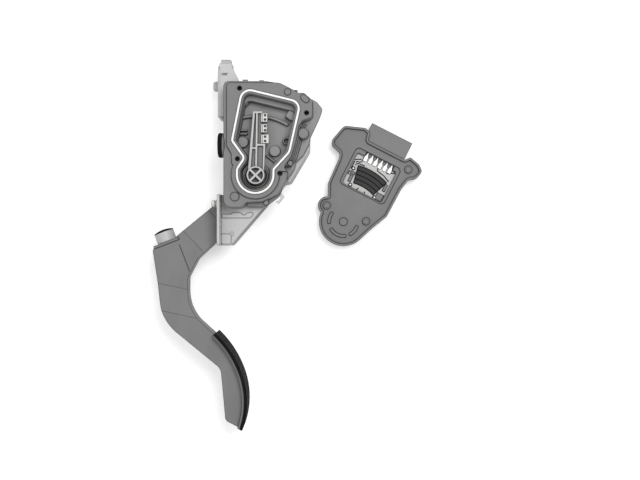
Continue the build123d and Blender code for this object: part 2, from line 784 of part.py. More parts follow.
def shaft_seal():
    """The rubber lip seal round the shaft in the housing floor."""
    inner = SHAFT / 2 + COLLAR_CLEARANCE
    shell = Circle(SHAFT / 2 + SEAL_WALL) - Circle(inner)
    lip = Circle(inner) - Circle(SHAFT / 2 + LIP_CLEARANCE)
    return slab(shell, WEB_FACE, CAVITY_FLOOR) + slab(lip, CAVITY_FLOOR - SEAL_LIP, CAVITY_FLOOR)


# Rotor and wipers


def sensor_rotor():
    """The light rotor: a windowed hub and a ribbed arm."""
    low = WEB_FACE + ROTOR_LOW
    high = low + ROTOR_THICKNESS
    hub = Circle(ROTOR_HUB_RADIUS) - Circle(ROTOR_HUB_RADIUS - ROTOR_HUB_WALL)
    spoke = Rectangle(2 * ROTOR_HUB_RADIUS - ROTOR_HUB_WALL, ROTOR_SPOKE)
    hub += Rot(0, 0, 45) * spoke + Rot(0, 0, -45) * spoke
    body = slab(hub, low, low + ROTOR_HUB_HEIGHT)
    left = outline((-7.0, 4.0, 0), (-2.4, ROTOR_TIP, 0), (-0.6, ROTOR_TIP, 0), (-4.6, 4.0, 0))
    middle = outline((-0.5, 7.2, 0), (0.4, ROTOR_TIP, 0), (2.0, ROTOR_TIP, 0), (1.3, 7.2, 0))
    right = outline((6.2, 4.6, 0), (6.9, 27.6, 0), (8.6, 27.6, 0), (7.6, 3.0, 0))
    bars = left + middle + right
    bars += Pos(-1.8, 24.4) * Rectangle(4.8, 1.6)
    bars += Pos(4.6, 27.4) * Rectangle(8.0, 1.8)
    bars += Pos(1.9, ROTOR_TIP - 0.2) * Rectangle(8.6, 1.8)
    bars -= Circle(ROTOR_HUB_RADIUS - 0.2)
    body += slab(bars, low, high)
    floor = outline(
        (-5.6, 6.0, 0),
        (-1.8, ROTOR_TIP, 0),
        (5.6, ROTOR_TIP, 0),
        (4.6, 28.0, 0),
        (7.4, 27.0, 0),
        (6.6, 5.0, 0),
    )
    floor -= Circle(ROTOR_HUB_RADIUS - 0.2)
    body += slab(floor, low, low + 1.2)
    for y_low, y_high, x_high in wiper_spans():
        ledge = block(4.6, x_high, y_low, y_high, low, high - WIPER_THICKNESS)
        body += ledge
    return body


def wiper_spans():
    """The three wiper plates: bottom, top and right side of each."""
    return [(47.9, 56.0, 10.7), (38.4, 46.2, 10.3), (28.6, 36.8, 12.0)]


def wiper(index):
    """One sprung contact plate with two contact points."""
    y_low, y_high, x_high = wiper_spans()[index]
    low = WEB_FACE + ROTOR_LOW + ROTOR_THICKNESS - WIPER_THICKNESS
    plate = block(6.2, x_high - 0.2, y_low + 0.2, y_high - 0.2, low, low + WIPER_THICKNESS)
    x = 8.5
    for share in (0.27, 0.75):
        y = y_low + share * (y_high - y_low)
        dome = Pos(x, y, low + WIPER_THICKNESS - 0.2) * Sphere(0.85)
        plate += dome & block(x - 1, x + 1, y - 1, y + 1, low + 0.1, low + 2)
    return plate


# Pedal arm


def pad_point(radius_change, angle):
    """A point on the pad's two-arc curve, moved outwards by radius_change."""
    blend = math.radians(PAD_BLEND_ANGLE)
    turn = math.radians(angle)
    x, y = PAD_CENTRE
    radius = PAD_RADIUS
    if angle > PAD_BLEND_ANGLE:
        shift = PAD_UPPER_RADIUS - PAD_RADIUS
        x -= shift * math.cos(blend)
        y -= shift * math.sin(blend)
        radius = PAD_UPPER_RADIUS
    radius += radius_change
    return x + radius * math.cos(turn), y + radius * math.sin(turn)


def pad_curve(radius_change):
    """The pad's side-view curve as two tangent arcs, bottom first."""
    low_mid = (PAD_LOW_ANGLE + PAD_BLEND_ANGLE) / 2
    high_mid = (PAD_BLEND_ANGLE + PAD_HIGH_ANGLE) / 2
    lower = ThreePointArc(
        pad_point(radius_change, PAD_LOW_ANGLE),
        pad_point(radius_change, low_mid),
        pad_point(radius_change, PAD_BLEND_ANGLE),
    )
    upper = ThreePointArc(
        pad_point(radius_change, PAD_BLEND_ANGLE),
        pad_point(radius_change, high_mid),
        pad_point(radius_change, PAD_HIGH_ANGLE),
    )
    return [lower, upper]


def pad_band(inner, outer):
    """The region between two offsets of the pad curve."""
    edges = pad_curve(inner) + pad_curve(outer)
    for angle in (PAD_LOW_ANGLE, PAD_HIGH_ANGLE):
        edges.append(Line(pad_point(inner, angle), pad_point(outer, angle)))
    return make_face(edges)


def arm_outline():
    """The arm in side view, from the drum to the foot of the pad."""
    back = [
        (0.0, 8.2, 0),
        (-74.2, -54.9, 1.0),
        (-73.8, -57.2, 0.5),
        (-96.4, -65.4, 5.0),
        (-86.0, -132.4, 44.0),
        (-32.8, -176.0, 10.0),
        (-28.5, -223.2, 5.2),
    ]
    front = [
        (-63.7, -121.5, 40.0),
        (-63.7, -92.9, 8.0),
        (-54.9, -75.8, 1.0),
        (12.5, -13.5, 0),
    ]
    inner = -PAD_THICKNESS / 2
    foot = pad_point(inner, PAD_LOW_ANGLE)
    head = pad_point(inner, PAD_HIGH_ANGLE)
    start = [(x, y) for x, y, _ in back] + [foot]
    rest = [head] + [(x, y) for x, y, _ in front]
    lines = FilletPolyline(*start, radius=[r for _, _, r in back[1:]]).edges()
    lines += FilletPolyline(*rest, radius=[r for _, _, r in front[:-1]]).edges()
    lines += [edge for arc in pad_curve(inner) for edge in arc.edges()]
    lines += Line(rest[-1], start[0]).edges()
    return make_face(lines) + Circle(DRUM_RADIUS)


def joggled_bar(angle, start, end, joggle, low):
    """A wide bar along a direction, stepping up by the arm's rise between two stations."""
    rise = ARM_RISE
    first, second = joggle
    high = low + ARM_THICKNESS
    side = Polyline(
        (start, low),
        (first, low),
        (second, low + rise),
        (end, low + rise),
        (end, high + rise),
        (second, high + rise),
        (first, high),
        (start, high),
        close=True,
    )
    along = Vector(math.cos(math.radians(angle)), math.sin(math.radians(angle)), 0)
    across = along.cross(Vector(0, 0, 1))
    plane = Plane(origin=(0, 0, 0), x_dir=along, z_dir=across)
    return extrude(plane * make_face(side.edges()), amount=200, both=True)


def arm_bars(drop):
    """The arm's two joggled bars, upper and lower, moved down by a distance."""
    low = arm_low() - drop
    upper = joggled_bar(180 + UPPER_CREASE_ANGLE - 3.5, -40, 116, UPPER_JOGGLE, low)
    lower = joggled_bar(270 - LOWER_CREASE_ANGLE, 80, 260, LOWER_JOGGLE, low + ARM_RISE)
    return upper, lower


def arm_hollow():
    """The pockets between the ribs on the bench side of the arm, open downwards."""
    pockets = offset(arm_outline(), -ARM_WALL) - Circle(HOLLOW_START)
    count = int(ARM_LENGTH / RIB_PITCH)
    for angle in RIB_ANGLES:
        for index in range(-count, count):
            rib = Pos(0, (index + 0.5) * RIB_PITCH) * Rectangle(2 * ARM_LENGTH, ARM_RIB)
            pockets -= Rot(0, 0, angle) * rib
    wide = [face for face in pockets.faces() if face.area > SMALLEST_POCKET]
    tall = slab(Sketch() + wide, -5, 80)
    upper, lower = arm_bars(ARM_WALL)
    return (tall & upper) + (tall & lower)


def arm_low():
    """Height of the arm's bench-side face at the drum."""
    return CHANNEL_MIDDLE - ARM_THICKNESS / 2


def pad_middle():
    """Height of the middle of the pad."""
    return CHANNEL_MIDDLE + 2 * ARM_RISE


def pedal_arm():
    """The moulded arm: drum, spring hubs, two joggles, knee and pad plate."""
    shape = arm_outline()
    tall = slab(shape, -5, 80)
    upper, lower = arm_bars(0)
    body = (tall & upper) + (tall & lower) - arm_hollow()
    plate = pad_band(-PAD_THICKNESS / 2 - PAD_PLATE, -PAD_THICKNESS / 2)
    reach = PAD_WIDTH / 2 - PAD_PLATE_INSET
    body += slab(plate, pad_middle() - reach, pad_middle() + reach)
    body += bump_ledge()
    low = REAR_WEB_TOP + BUSH_FLANGE + END_FLOAT
    high = FRONT_WEB_LOW - BUSH_FLANGE - END_FLOAT
    body += disc(0, 0, SPRING_HUB_RADIUS, low, high)
    body += spring_pegs()
    body -= disc(0, 0, SHAFT / 2, CHANNEL_MIDDLE, high + 1)
    body -= disc(0, 0, REAR_JOURNAL / 2, low - 1, CHANNEL_MIDDLE + 1)
    return body - drive_pin()


def pivot_shaft():
    """The stepped shaft: it turns with the arm and carries the rotor."""
    top = WEB_FACE + ROTOR_LOW
    body = disc(0, 0, SHAFT / 2, CHANNEL_MIDDLE + 1, top)
    body += disc(0, 0, REAR_JOURNAL / 2, 0.5, CHANNEL_MIDDLE + 1)
    return body - drive_pin()


def drive_pin():
    """The roll pin that locks the shaft to the drum."""
    z = CHANNEL_MIDDLE - ARM_THICKNESS / 4
    reach = DRUM_RADIUS - 1.5
    return rod((-reach, 0, z), (reach, 0, z), DRIVE_PIN / 2)


def pedal_pad():
    """The rubber pad with lengthwise ribs."""
    half = PAD_THICKNESS / 2
    body = slab(pad_band(-half, half - PAD_RIB), pad_middle() - PAD_WIDTH / 2, pad_middle() + PAD_WIDTH / 2)
    pitch = PAD_WIDTH / PAD_RIB_COUNT
    for index in range(PAD_RIB_COUNT):
        middle = pad_middle() - PAD_WIDTH / 2 + (index + 0.5) * pitch
        reach = PAD_RIB_SHARE * pitch / 2
        body += slab(pad_band(-half, half), middle - reach, middle + reach)
    return body


def bump_axis(distance):
    """A point on the bump stop's axis."""
    lean = math.radians(90 + BUMP_LEAN)
    z = arm_low() + ARM_RISE + ARM_THICKNESS / 2
    return BUMP_X + distance * math.cos(lean), BUMP_Y + distance * math.sin(lean), z


def bump_stop_cup():
    """The light plastic cup on the knee."""
    cup = rod(bump_axis(0), bump_axis(BUMP_HEIGHT), BUMP_DIAMETER / 2)
    return cup - rod(bump_axis(BUMP_FLOOR), bump_axis(BUMP_HEIGHT + 1), BUMP_DIAMETER / 2 - BUMP_WALL)


def bump_ledge():
    """The ledge along the knee that the cup stands on, a little proud of both flanks."""
    up = Vector(*bump_axis(1)) - Vector(*bump_axis(0))
    place = Plane(origin=bump_axis(-BUMP_LEDGE / 2), x_dir=(0, 0, 1), z_dir=up)
    return place * Box(ARM_THICKNESS + 2 * BUMP_LEDGE_PROUD, BUMP_LEDGE_WIDTH, BUMP_LEDGE)


def bump_stop_rubber():
    """The domed rubber buffer in the cup."""
    plug = rod(bump_axis(BUMP_FLOOR), bump_axis(BUMP_HEIGHT), BUMP_DIAMETER / 2 - BUMP_WALL)
    radius = BUMP_DIAMETER / 2
    rim = BUMP_HEIGHT + BUMP_RIM
    plug += rod(bump_axis(BUMP_HEIGHT), bump_axis(rim), radius)
    sphere_radius = (radius**2 + BUMP_DOME**2) / (2 * BUMP_DOME)
    dome = Pos(*bump_axis(rim + BUMP_DOME - sphere_radius)) * Sphere(sphere_radius)
    return plug + (dome & rod(bump_axis(rim), bump_axis(rim + 2 * BUMP_DOME), radius))


# Sensor cover, as fitted


def connector_place():
    """The frame of the connector: X along its mouth, Y outwards."""
    return Pos(CONNECTOR_X, CONNECTOR_Y, 0) * Rot(0, 0, CONNECTOR_ANGLE)


def connector_box(half_width, start, end, low, high):
    """A box in the connector's own frame."""
    return connector_place() * block(-half_width, half_width, start, end, low, high)


def board_sides():
    """Left, right, low and high sides of the board, square to the connector, round the tracks."""
    left, right, below, above = BOARD_MARGINS
    start, end = (math.radians(angle - CONNECTOR_ANGLE) for angle in (TRACK_START, TRACK_END))
    lowest = TRACK_INNER * min(math.sin(start), math.sin(end))
    return (
        TRACK_OUTER * math.cos(end) - left,
        TRACK_OUTER * math.cos(start) + right,
        lowest - below,
        TRACK_OUTER + above,
    )


def board_rectangle(margins, radius):
    """A rounded rectangle round the board, larger by a margin on each side."""
    left, right, low, high = board_sides()
    more_left, more_right, more_low, more_high = margins
    return Rot(0, 0, CONNECTOR_ANGLE) * outline(
        (left - more_left, high + more_high, radius),
        (right + more_right, high + more_high, radius),
        (right + more_right, low - more_low, radius),
        (left - more_left, low - more_low, radius),
    )


def window_outline():
    """The board window in the cover's inner face."""
    return board_rectangle(WINDOW_MARGINS, 4)


def board_outline():
    """The circuit board in the window."""
    return board_rectangle((0, 0, 0, 0), 2)


def sensor_cover():
    """The moulded cover: rim, recessed inner face, board window, screw bosses and connector."""
    top = SEAL_FACE + COVER_HEIGHT
    body = slab(cover_outline(), SEAL_FACE, top)
    body = chamfer(body.edges().group_by(Axis.Z)[-1], 1.2)
    body += connector_box(CONNECTOR_WIDTH / 2, -CONNECTOR_ROOT, CONNECTOR_REACH, SEAL_FACE + 0.5, top)
    inner = offset(cover_outline(), -COVER_RIM)
    body -= slab(inner, SEAL_FACE - 1, SEAL_FACE + COVER_RIM_DEPTH)
    for x, y in cover_bosses():
        body += disc(x, y, 3.5, SEAL_FACE + 0.4, top - 3)
    body += disc(0, 0, 3.7, SEAL_FACE + 1.0, top - 3)
    for start, end in ((-48.0, -1.0), (-141.0, -69.0), (-204.0, -156.0)):
        body += slab(arc_band(12.2, 14.8, start, end), SEAL_FACE + 1.0, top - 3)
    recess = SEAL_FACE + COVER_RIM_DEPTH
    body -= slab(window_outline(), SEAL_FACE, recess + 1.0)
    body -= slab(board_outline(), SEAL_FACE, recess + WINDOW_DEPTH)
    half = CONNECTOR_WIDTH / 2 - CONNECTOR_WALL
    mouth = (SEAL_FACE + 0.5 + CONNECTOR_WALL, top - CONNECTOR_WALL)
    body -= connector_box(half, CONNECTOR_BACK, CONNECTOR_REACH + 1, *mouth)
    for x, y in cover_bosses():
        body -= disc(x, y, 2.0, SEAL_FACE, top + 1)
        body -= disc(x, y, 3.9, top - 3.0, top + 1)
    return body - pin_cutter() - contact_slot()


def contact_slot():
    """The slot beside the board that the contact springs bridge."""
    high = board_sides()[3]
    half = (PIN_COUNT - 1) / 2 * CONTACT_PITCH + CONTACT_WIDTH / 2 + CONTACT_GAP
    slot = block(
        CONTACT_MIDDLE - half,
        CONTACT_MIDDLE + half,
        high - CONTACT_GAP,
        high + WINDOW_MARGINS[3],
        SEAL_FACE,
        board_face(),
    )
    return Rot(0, 0, CONNECTOR_ANGLE) * slot


def cover_screws():
    """The captive screws left in the cover."""
    top = SEAL_FACE + COVER_HEIGHT
    screws = []
    for x, y in cover_bosses():
        head = disc(x, y, 3.6, top - 3.0, top - 0.6)
        screws.append(head + disc(x, y, 2.0, SEAL_FACE + 0.4, top - 3.0))
    return screws


def connector_pins_list():
    """The six blades in the connector."""
    middle = SEAL_FACE + 0.25 + COVER_HEIGHT / 2
    pins = []
    for index in range(PIN_COUNT):
        offset_x = (index - (PIN_COUNT - 1) / 2) * PIN_PITCH
        pin = block(
            offset_x - PIN_SIDE / 2,
            offset_x + PIN_SIDE / 2,
            CONNECTOR_BACK - 2.0,
            CONNECTOR_BACK + PIN_LENGTH,
            middle - PIN_SIDE / 2,
            middle + PIN_SIDE / 2,
        )
        pins.append(connector_place() * pin)
    return pins


def pin_cutter():
    """All blades as one cutter."""
    return Part() + connector_pins_list()


def sensor_board():
    """The light circuit board."""
    floor = SEAL_FACE + COVER_RIM_DEPTH + WINDOW_DEPTH
    return slab(board_outline(), floor - BOARD_THICKNESS, floor)


def board_face():
    """Height of the board's contact side, as fitted."""
    return SEAL_FACE + COVER_RIM_DEPTH + WINDOW_DEPTH - BOARD_THICKNESS


def resistor_tracks():
    """The dark resistor bands that the wipers run on."""
    pitch = (TRACK_OUTER - TRACK_INNER + TRACK_GAP) / TRACK_COUNT
    tracks = []
    for index in range(TRACK_COUNT):
        inner = TRACK_INNER + index * pitch
        band = arc_band(inner, inner + pitch - TRACK_GAP, TRACK_START, TRACK_END)
        tracks.append(slab(band, board_face() - TRACK_THICKNESS, board_face()))
    return tracks


def contact_leaf():
    """One contact spring: a wide foot on the board, a waist and a narrow neck towards the connector."""
    foot = CONTACT_WIDTH / 2
    neck = CONTACT_NECK / 2
    high = board_sides()[3] + WINDOW_MARGINS[3] - CONTACT_GAP
    low = high - CONTACT_LENGTH
    shoulder = low + CONTACT_LENGTH / 2
    waist = shoulder + CONTACT_LENGTH / 4
    return outline(
        (-foot, low, 0.4),
        (foot, low, 0.4),
        (foot, shoulder, 0.8),
        (neck, waist, 0.8),
        (neck, high, 0.3),
        (-neck, high, 0.3),
        (-neck, waist, 0.8),
        (-foot, shoulder, 0.8),
    )


def contact_springs():
    """Six bright contact springs between the board and the connector."""
    springs = []
    for index in range(PIN_COUNT):
        along = CONTACT_MIDDLE + (index - (PIN_COUNT - 1) / 2) * CONTACT_PITCH
        leaf = Rot(0, 0, CONNECTOR_ANGLE) * Pos(along, 0) * contact_leaf()
        springs.append(slab(leaf, board_face() - CONTACT_THICKNESS, board_face()))
    return springs


def beyond_start(radius, degrees):
    """A place on the board beside the start of the tracks."""
    angle = math.radians(TRACK_START - degrees)
    return radius * math.cos(angle), radius * math.sin(angle)


def beyond_end(radius, degrees):
    """A place on the board beside the end of the tracks."""
    angle = math.radians(TRACK_END + degrees)
    return radius * math.cos(angle), radius * math.sin(angle)


def board_components():
    """Small chips, pads and solder dots on the board."""
    low = board_face() - COMPONENT_HEIGHT
    parts = []
    for place, long, wide, turn in (
        (beyond_end(50.7, 3.0), 6.4, 2.0, 76),
        (beyond_end(41.1, 7.5), 6.0, 6.0, CONNECTOR_ANGLE),
        (beyond_start(41.85, 5.7), 6.0, 2.2, 76),
        (beyond_start(47.4, 4.0), 3.6, 2.0, CONNECTOR_ANGLE),
    ):
        chip = block(-long / 2, long / 2, -wide / 2, wide / 2, low, board_face())
        parts.append(Pos(*place) * Rot(0, 0, turn) * chip)
    for place in (beyond_start(51.7, 4.3), beyond_start(35.8, 4.5), beyond_end(37.3, 3.8)):
        parts.append(disc(*place, 1.2, low, board_face()))
    return parts


def laid_down(shape):
    """A piece of the cover, turned over and laid on the bench beside the pedal."""
    top = SEAL_FACE + COVER_HEIGHT
    place = Pos(COVER_X, COVER_Y, top) * Rot(0, 0, COVER_TURN) * Rot(180, 0, 0)
    return place * shape


def build():
    """Every node by name, about the pivot."""
    fixed = {
        "mounting_bracket": mounting_bracket(),
        "weld_nut": weld_nut(),
        "upper_locating_peg": upper_locating_peg(),
        "lower_locating_peg": lower_locating_peg(),
        "front_bush": front_bush(),
        "rear_bush": rear_bush(),
        "spring_anchor_pin": cross_pin(anchor_place(), ANCHOR_PIN),
        "stop_pin": cross_pin(stop_place(), STOP_PIN),
        "stop_sleeve": stop_sleeve(),
        "front_return_spring": front_return_spring(),
        "rear_return_spring": rear_return_spring(),
        "sensor_housing": sensor_housing(),
        "housing_screws": housing_screws(),
        "housing_gasket": housing_gasket(),
        "wall_buffer": wall_buffer(),
        "harness_clip": harness_clip(),
        "shaft_seal": shaft_seal(),
    }
    moving = {
        "pedal_arm": pedal_arm(),
        "pivot_shaft": pivot_shaft(),
        "drive_pin": drive_pin(),
        "pedal_pad": pedal_pad(),
        "bump_stop_cup": bump_stop_cup(),
        "bump_stop_rubber": bump_stop_rubber(),
        "sensor_rotor": sensor_rotor(),
        "outer_wiper": wiper(0),
        "middle_wiper": wiper(1),
        "inner_wiper": wiper(2),
    }
    cover = {
        "sensor_cover": sensor_cover(),
        "cover_screws": cover_screws(),
        "connector_pins": connector_pins_list(),
        "sensor_board": sensor_board(),
        "resistor_tracks": resistor_tracks(),
        "contact_springs": contact_springs(),
        "board_components": board_components(),
    }
    nodes = {**fixed, **moving}
    for name, shape in cover.items():
        if isinstance(shape, list):
            nodes[name] = [laid_down(item) for item in shape]
        else:
            nodes[name] = laid_down(shape)
    return nodes


def write(nodes):
    """One STEP file for each node, moved to the frame's origin."""
    os.makedirs("parts", exist_ok=True)
    to_origin = Pos(-WALL_X, -BOLT_Y, -CHANNEL_MIDDLE)
    for name, shape in nodes.items():
        solids = shape if isinstance(shape, list) else shape.solids()
        placed = [to_origin * solid for item in solids for solid in item.solids()]
        piece = placed[0] if len(placed) == 1 else Compound(children=placed)
        export_step(piece, f"parts/{name}.step")


write(build())
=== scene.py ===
import json
import math

import bpy
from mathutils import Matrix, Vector


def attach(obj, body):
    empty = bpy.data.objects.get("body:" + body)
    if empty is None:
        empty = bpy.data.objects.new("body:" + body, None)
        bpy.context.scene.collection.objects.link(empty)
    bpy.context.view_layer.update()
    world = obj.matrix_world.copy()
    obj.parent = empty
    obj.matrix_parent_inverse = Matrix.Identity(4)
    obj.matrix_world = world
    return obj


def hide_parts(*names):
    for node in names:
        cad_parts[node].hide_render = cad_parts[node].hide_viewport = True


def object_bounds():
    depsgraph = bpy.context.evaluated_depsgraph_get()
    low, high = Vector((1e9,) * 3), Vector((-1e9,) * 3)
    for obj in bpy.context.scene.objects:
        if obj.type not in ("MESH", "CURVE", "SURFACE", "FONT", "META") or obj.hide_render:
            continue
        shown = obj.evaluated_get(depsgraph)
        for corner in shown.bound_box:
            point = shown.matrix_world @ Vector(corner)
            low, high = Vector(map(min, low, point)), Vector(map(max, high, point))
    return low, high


# The pedal comes from the frame lying on its side, with its pivot axis upright, in metres.
# The sections follow it as it is put together, from the bracket to the board in the sensor's cover.
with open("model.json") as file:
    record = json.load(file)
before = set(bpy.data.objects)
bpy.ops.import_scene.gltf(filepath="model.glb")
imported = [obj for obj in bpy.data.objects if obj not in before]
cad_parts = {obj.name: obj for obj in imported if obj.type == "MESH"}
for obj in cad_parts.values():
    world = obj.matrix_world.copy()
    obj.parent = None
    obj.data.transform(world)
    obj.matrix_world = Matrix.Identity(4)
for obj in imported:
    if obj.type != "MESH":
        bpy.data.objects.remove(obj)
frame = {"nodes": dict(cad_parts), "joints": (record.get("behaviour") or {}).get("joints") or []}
cad_low, cad_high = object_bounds()


# Mounting bracket: 2.5 mm steel sheet, cut, folded into a channel and pierced.
# It is dipped in a light grey satin paint, which wears through to dark, dulled steel at its edges.

MM = 0.001
PAINT_GREY = (0.48, 0.48, 0.48)
PAINT_SHADE = (0.45, 0.45, 0.455)
DULL_STEEL = (0.085, 0.083, 0.080)
# A dark colour for dust, and for shade painted into corners and along edges.
DUST_AND_SHADE = (0.10, 0.096, 0.092)
WORN_EDGE = (0.003, 0.05)


class Reading:
    """A number that varies over a surface. Python's operators on it add Math nodes."""

    def __init__(self, finish, socket):
        self.finish = finish
        self.socket = socket

    def worked(self, operation, *values):
        node = self.finish.add("ShaderNodeMath", {"operation": operation}, dict(enumerate(values)))
        return Reading(self.finish, node.outputs[0])

    def __add__(self, other):
        return self.worked("ADD", self, other)

    def __radd__(self, other):
        return self.worked("ADD", other, self)

    def __sub__(self, other):
        return self.worked("SUBTRACT", self, other)

    def __rsub__(self, other):
        return self.worked("SUBTRACT", other, self)

    def __mul__(self, other):
        return self.worked("MULTIPLY", self, other)

    def __rmul__(self, other):
        return self.worked("MULTIPLY", other, self)

    def __truediv__(self, other):
        return self.worked("DIVIDE", self, other)

    def sine(self):
        return self.worked("SINE", self)

    def root(self):
        return self.worked("SQRT", self)

    def clipped(self):
        return self.worked("MINIMUM", self.worked("MAXIMUM", self, 0.0), 1.0)

    def between(self, low, high):
        """0 at low, 1 at high, and straight in between."""
        return ((self - low) / (high - low)).clipped()


class Tree:
    """A node tree. Each of its nodes comes from add."""

    def add(self, kind, settings=None, inputs=None):
        """A node of one kind: its settings first, then the values or links of its sockets."""
        node = self.tree.nodes.new(kind)
        for name, value in (settings or {}).items():
            setattr(node, name, value)
        for key, value in (inputs or {}).items():
            self.feed(node.inputs[key], value)
        return node

    def feed(self, socket, value):
        """A link where the value is a socket or a reading, and a plain value otherwise."""
        if isinstance(value, Reading):
            value = value.socket
        if isinstance(value, bpy.types.NodeSocket):
            self.tree.links.new(value, socket)
        elif isinstance(value, tuple) and socket.type == "RGBA" and len(value) == 3:
            socket.default_value = (*value, 1.0)
        else:
            socket.default_value = value


class Finish(Tree):
    """A material for one kind of surface."""

    def __init__(self, name):
        self.material = bpy.data.materials.new(name)
        self.material.use_nodes = True
        self.tree = self.material.node_tree
        self.shader = self.tree.nodes["Principled BSDF"]
        self.places = self.add("ShaderNodeTexCoord").outputs["Object"]

    def noise(self, size, detail=2.0, stretch=(1.0, 1.0, 1.0)):
        """Clouds of about the given size in metres, drawn out along an axis by stretch."""
        vector = self.places
        if stretch != (1.0, 1.0, 1.0):
            scale = tuple(1.0 / s for s in stretch)
            mapping = self.add("ShaderNodeMapping", None, {"Vector": vector, "Scale": scale})
            vector = mapping.outputs[0]
        sockets = {"Vector": vector, "Scale": 1.0 / size, "Detail": detail, "Roughness": 0.55}
        return Reading(self, self.add("ShaderNodeTexNoise", None, sockets).outputs["Fac"])

    def axis(self, index):
        """How far along X, Y or Z a point lies, in metres."""
        node = self.add("ShaderNodeSeparateXYZ", None, {0: self.places})
        return Reading(self, node.outputs[index])

    def around(self, centre):
        """Distance from an upright axis through the centre, in metres."""
        across = self.axis(0) - centre.x
        along = self.axis(1) - centre.y
        return (across * across + along * along).root()

    def rounded(self, radius):
        """The surface's direction with its edges rounded off."""
        return self.add("ShaderNodeBevel", {"samples": 6}, {"Radius": radius}).outputs["Normal"]

    def edges(self, radius):
        """0 on flat faces, about 0.01 on a blunt crease and 0.3 on a square edge."""
        flat = self.add("ShaderNodeNewGeometry").outputs["Normal"]
        inputs = {0: self.rounded(radius), 1: flat}
        match = self.add("ShaderNodeVectorMath", {"operation": "DOT_PRODUCT"}, inputs)
        return 1.0 - Reading(self, match.outputs["Value"])

    def corners(self, reach):
        """1 deep in inner corners, where over half of the view is blocked, and 0 in the open. It is
        ambient occlusion: where it darkens a colour, that is painted shade.
        """
        node = self.add("ShaderNodeAmbientOcclusion", {"samples": 8}, {"Distance": reach})
        return (1.0 - Reading(self, node.outputs["AO"])).between(0.12, 0.55)

    def mixed(self, share, first, second):
        """One colour going over into another. A Mix node has its colours at 6, 7 and out at 2."""
        inputs = {0: share, 6: first, 7: second}
        return self.add("ShaderNodeMix", {"data_type": "RGBA"}, inputs).outputs[2]

    def relief(self, height, depth, normal=None):
        """The surface's direction with a fine height laid over it."""
        inputs = {"Height": height, "Distance": depth, "Strength": 1.0}
        if normal is not None:
            inputs["Normal"] = normal
        return self.add("ShaderNodeBump", None, inputs).outputs["Normal"]

    def coat(self, **sockets):
        """Values or links of the shader's own sockets, by name."""
        for name, value in sockets.items():
            self.feed(self.shader.inputs[name.replace("_", " ")], value)
        return self.material


def dress(finish, *names):
    """The CAD nodes take a finish and stay as they are."""
    for name in names:
        materials = frame["nodes"][name].data.materials
        materials.clear()
        materials.append(finish)


def bracket_paint():
    paint = Finish("bracket_paint")
    chipping = 0.5 + paint.noise(3 * MM, detail=4.0) * 0.6
    worn = paint.edges(0.6 * MM).between(*WORN_EDGE) * chipping
    # Painted shade: the paint darkens in inner corners, found by ambient occlusion, and a little, in
    # patches, deeper in hollows.
    hollow_patches = paint.corners(9 * MM) * paint.noise(9 * MM, detail=3.0) * 0.12
    dust_and_shade = paint.corners(1.6 * MM) * 0.8 + hollow_patches
    cloud = paint.noise(26 * MM, detail=3.0).between(0.3, 0.7)
    tone = paint.mixed(worn, paint.mixed(cloud, PAINT_SHADE, PAINT_GREY), DULL_STEEL)
    peel = paint.noise(1.1 * MM) + paint.noise(0.3 * MM, detail=1.0) * 0.3
    return paint.coat(
        Base_Color=paint.mixed(dust_and_shade.clipped(), tone, DUST_AND_SHADE),
        Roughness=0.34 + paint.noise(7 * MM, detail=3.0) * 0.16 + dust_and_shade * 0.4,
        Normal=paint.relief(peel, 0.03 * MM, paint.rounded(0.5 * MM)),
    )


dress(bracket_paint(), "mounting_bracket")


# Weld nut, drive pin and the two cross pins: steel, turned or cold-headed and zinc-plated.
# The nut is welded to the top tab, the cross pins are riveted and the drive pin is pressed in.

ZINC = (0.44, 0.445, 0.45)
ZINC_SHADE = (0.36, 0.365, 0.37)


def zinc_plate():
    plate = Finish("zinc_plate")
    cloud = plate.noise(2.5 * MM, detail=4.0)
    turning = plate.noise(0.25 * MM, detail=1.0, stretch=(8.0, 8.0, 0.6))
    worn = plate.edges(0.4 * MM).between(*WORN_EDGE) * 0.6
    # The dulled steel at worn edges is wear; its darkening in inner corners is painted shade.
    rim = (worn + plate.corners(1.2 * MM) * 0.6).clipped()
    return plate.coat(
        Base_Color=plate.mixed(rim, plate.mixed(cloud, ZINC_SHADE, ZINC), DULL_STEEL),
        Metallic=0.7,
        Roughness=0.52 + cloud * 0.16,
        Normal=plate.relief(turning, 0.02 * MM, plate.rounded(0.3 * MM)),
    )


ZINC_PLATE = zinc_plate()
dress(ZINC_PLATE, "weld_nut", "spring_anchor_pin", "stop_pin", "drive_pin")


# Locating pegs, clip, bushes and the bump stop's cup: mouldings, smooth and slightly waxy.
# The upper peg and the cup are grey, the lower peg and the clip white, the bushes cream acetal.


def smooth_moulding(name, light, shade):
    moulding = Finish(name)
    flow = moulding.noise(8 * MM, detail=3.0, stretch=(1.0, 3.0, 1.0))
    # Painted shade: dark lines along the edges and creases, and darkening in inner corners.
    edge_shade = moulding.edges(0.7 * MM).between(0.003, 0.03) * 0.9
    shade_mask = (moulding.corners(1.4 * MM) * 0.8 + edge_shade).clipped()
    return moulding.coat(
        Base_Color=moulding.mixed(shade_mask, moulding.mixed(flow, light, shade), DUST_AND_SHADE),
        Roughness=0.36 + flow * 0.14,
        Subsurface_Weight=0.06,
        Subsurface_Scale=1.0 * MM,
        Normal=moulding.relief(moulding.noise(0.5 * MM), 0.012 * MM, moulding.rounded(0.3 * MM)),
    )


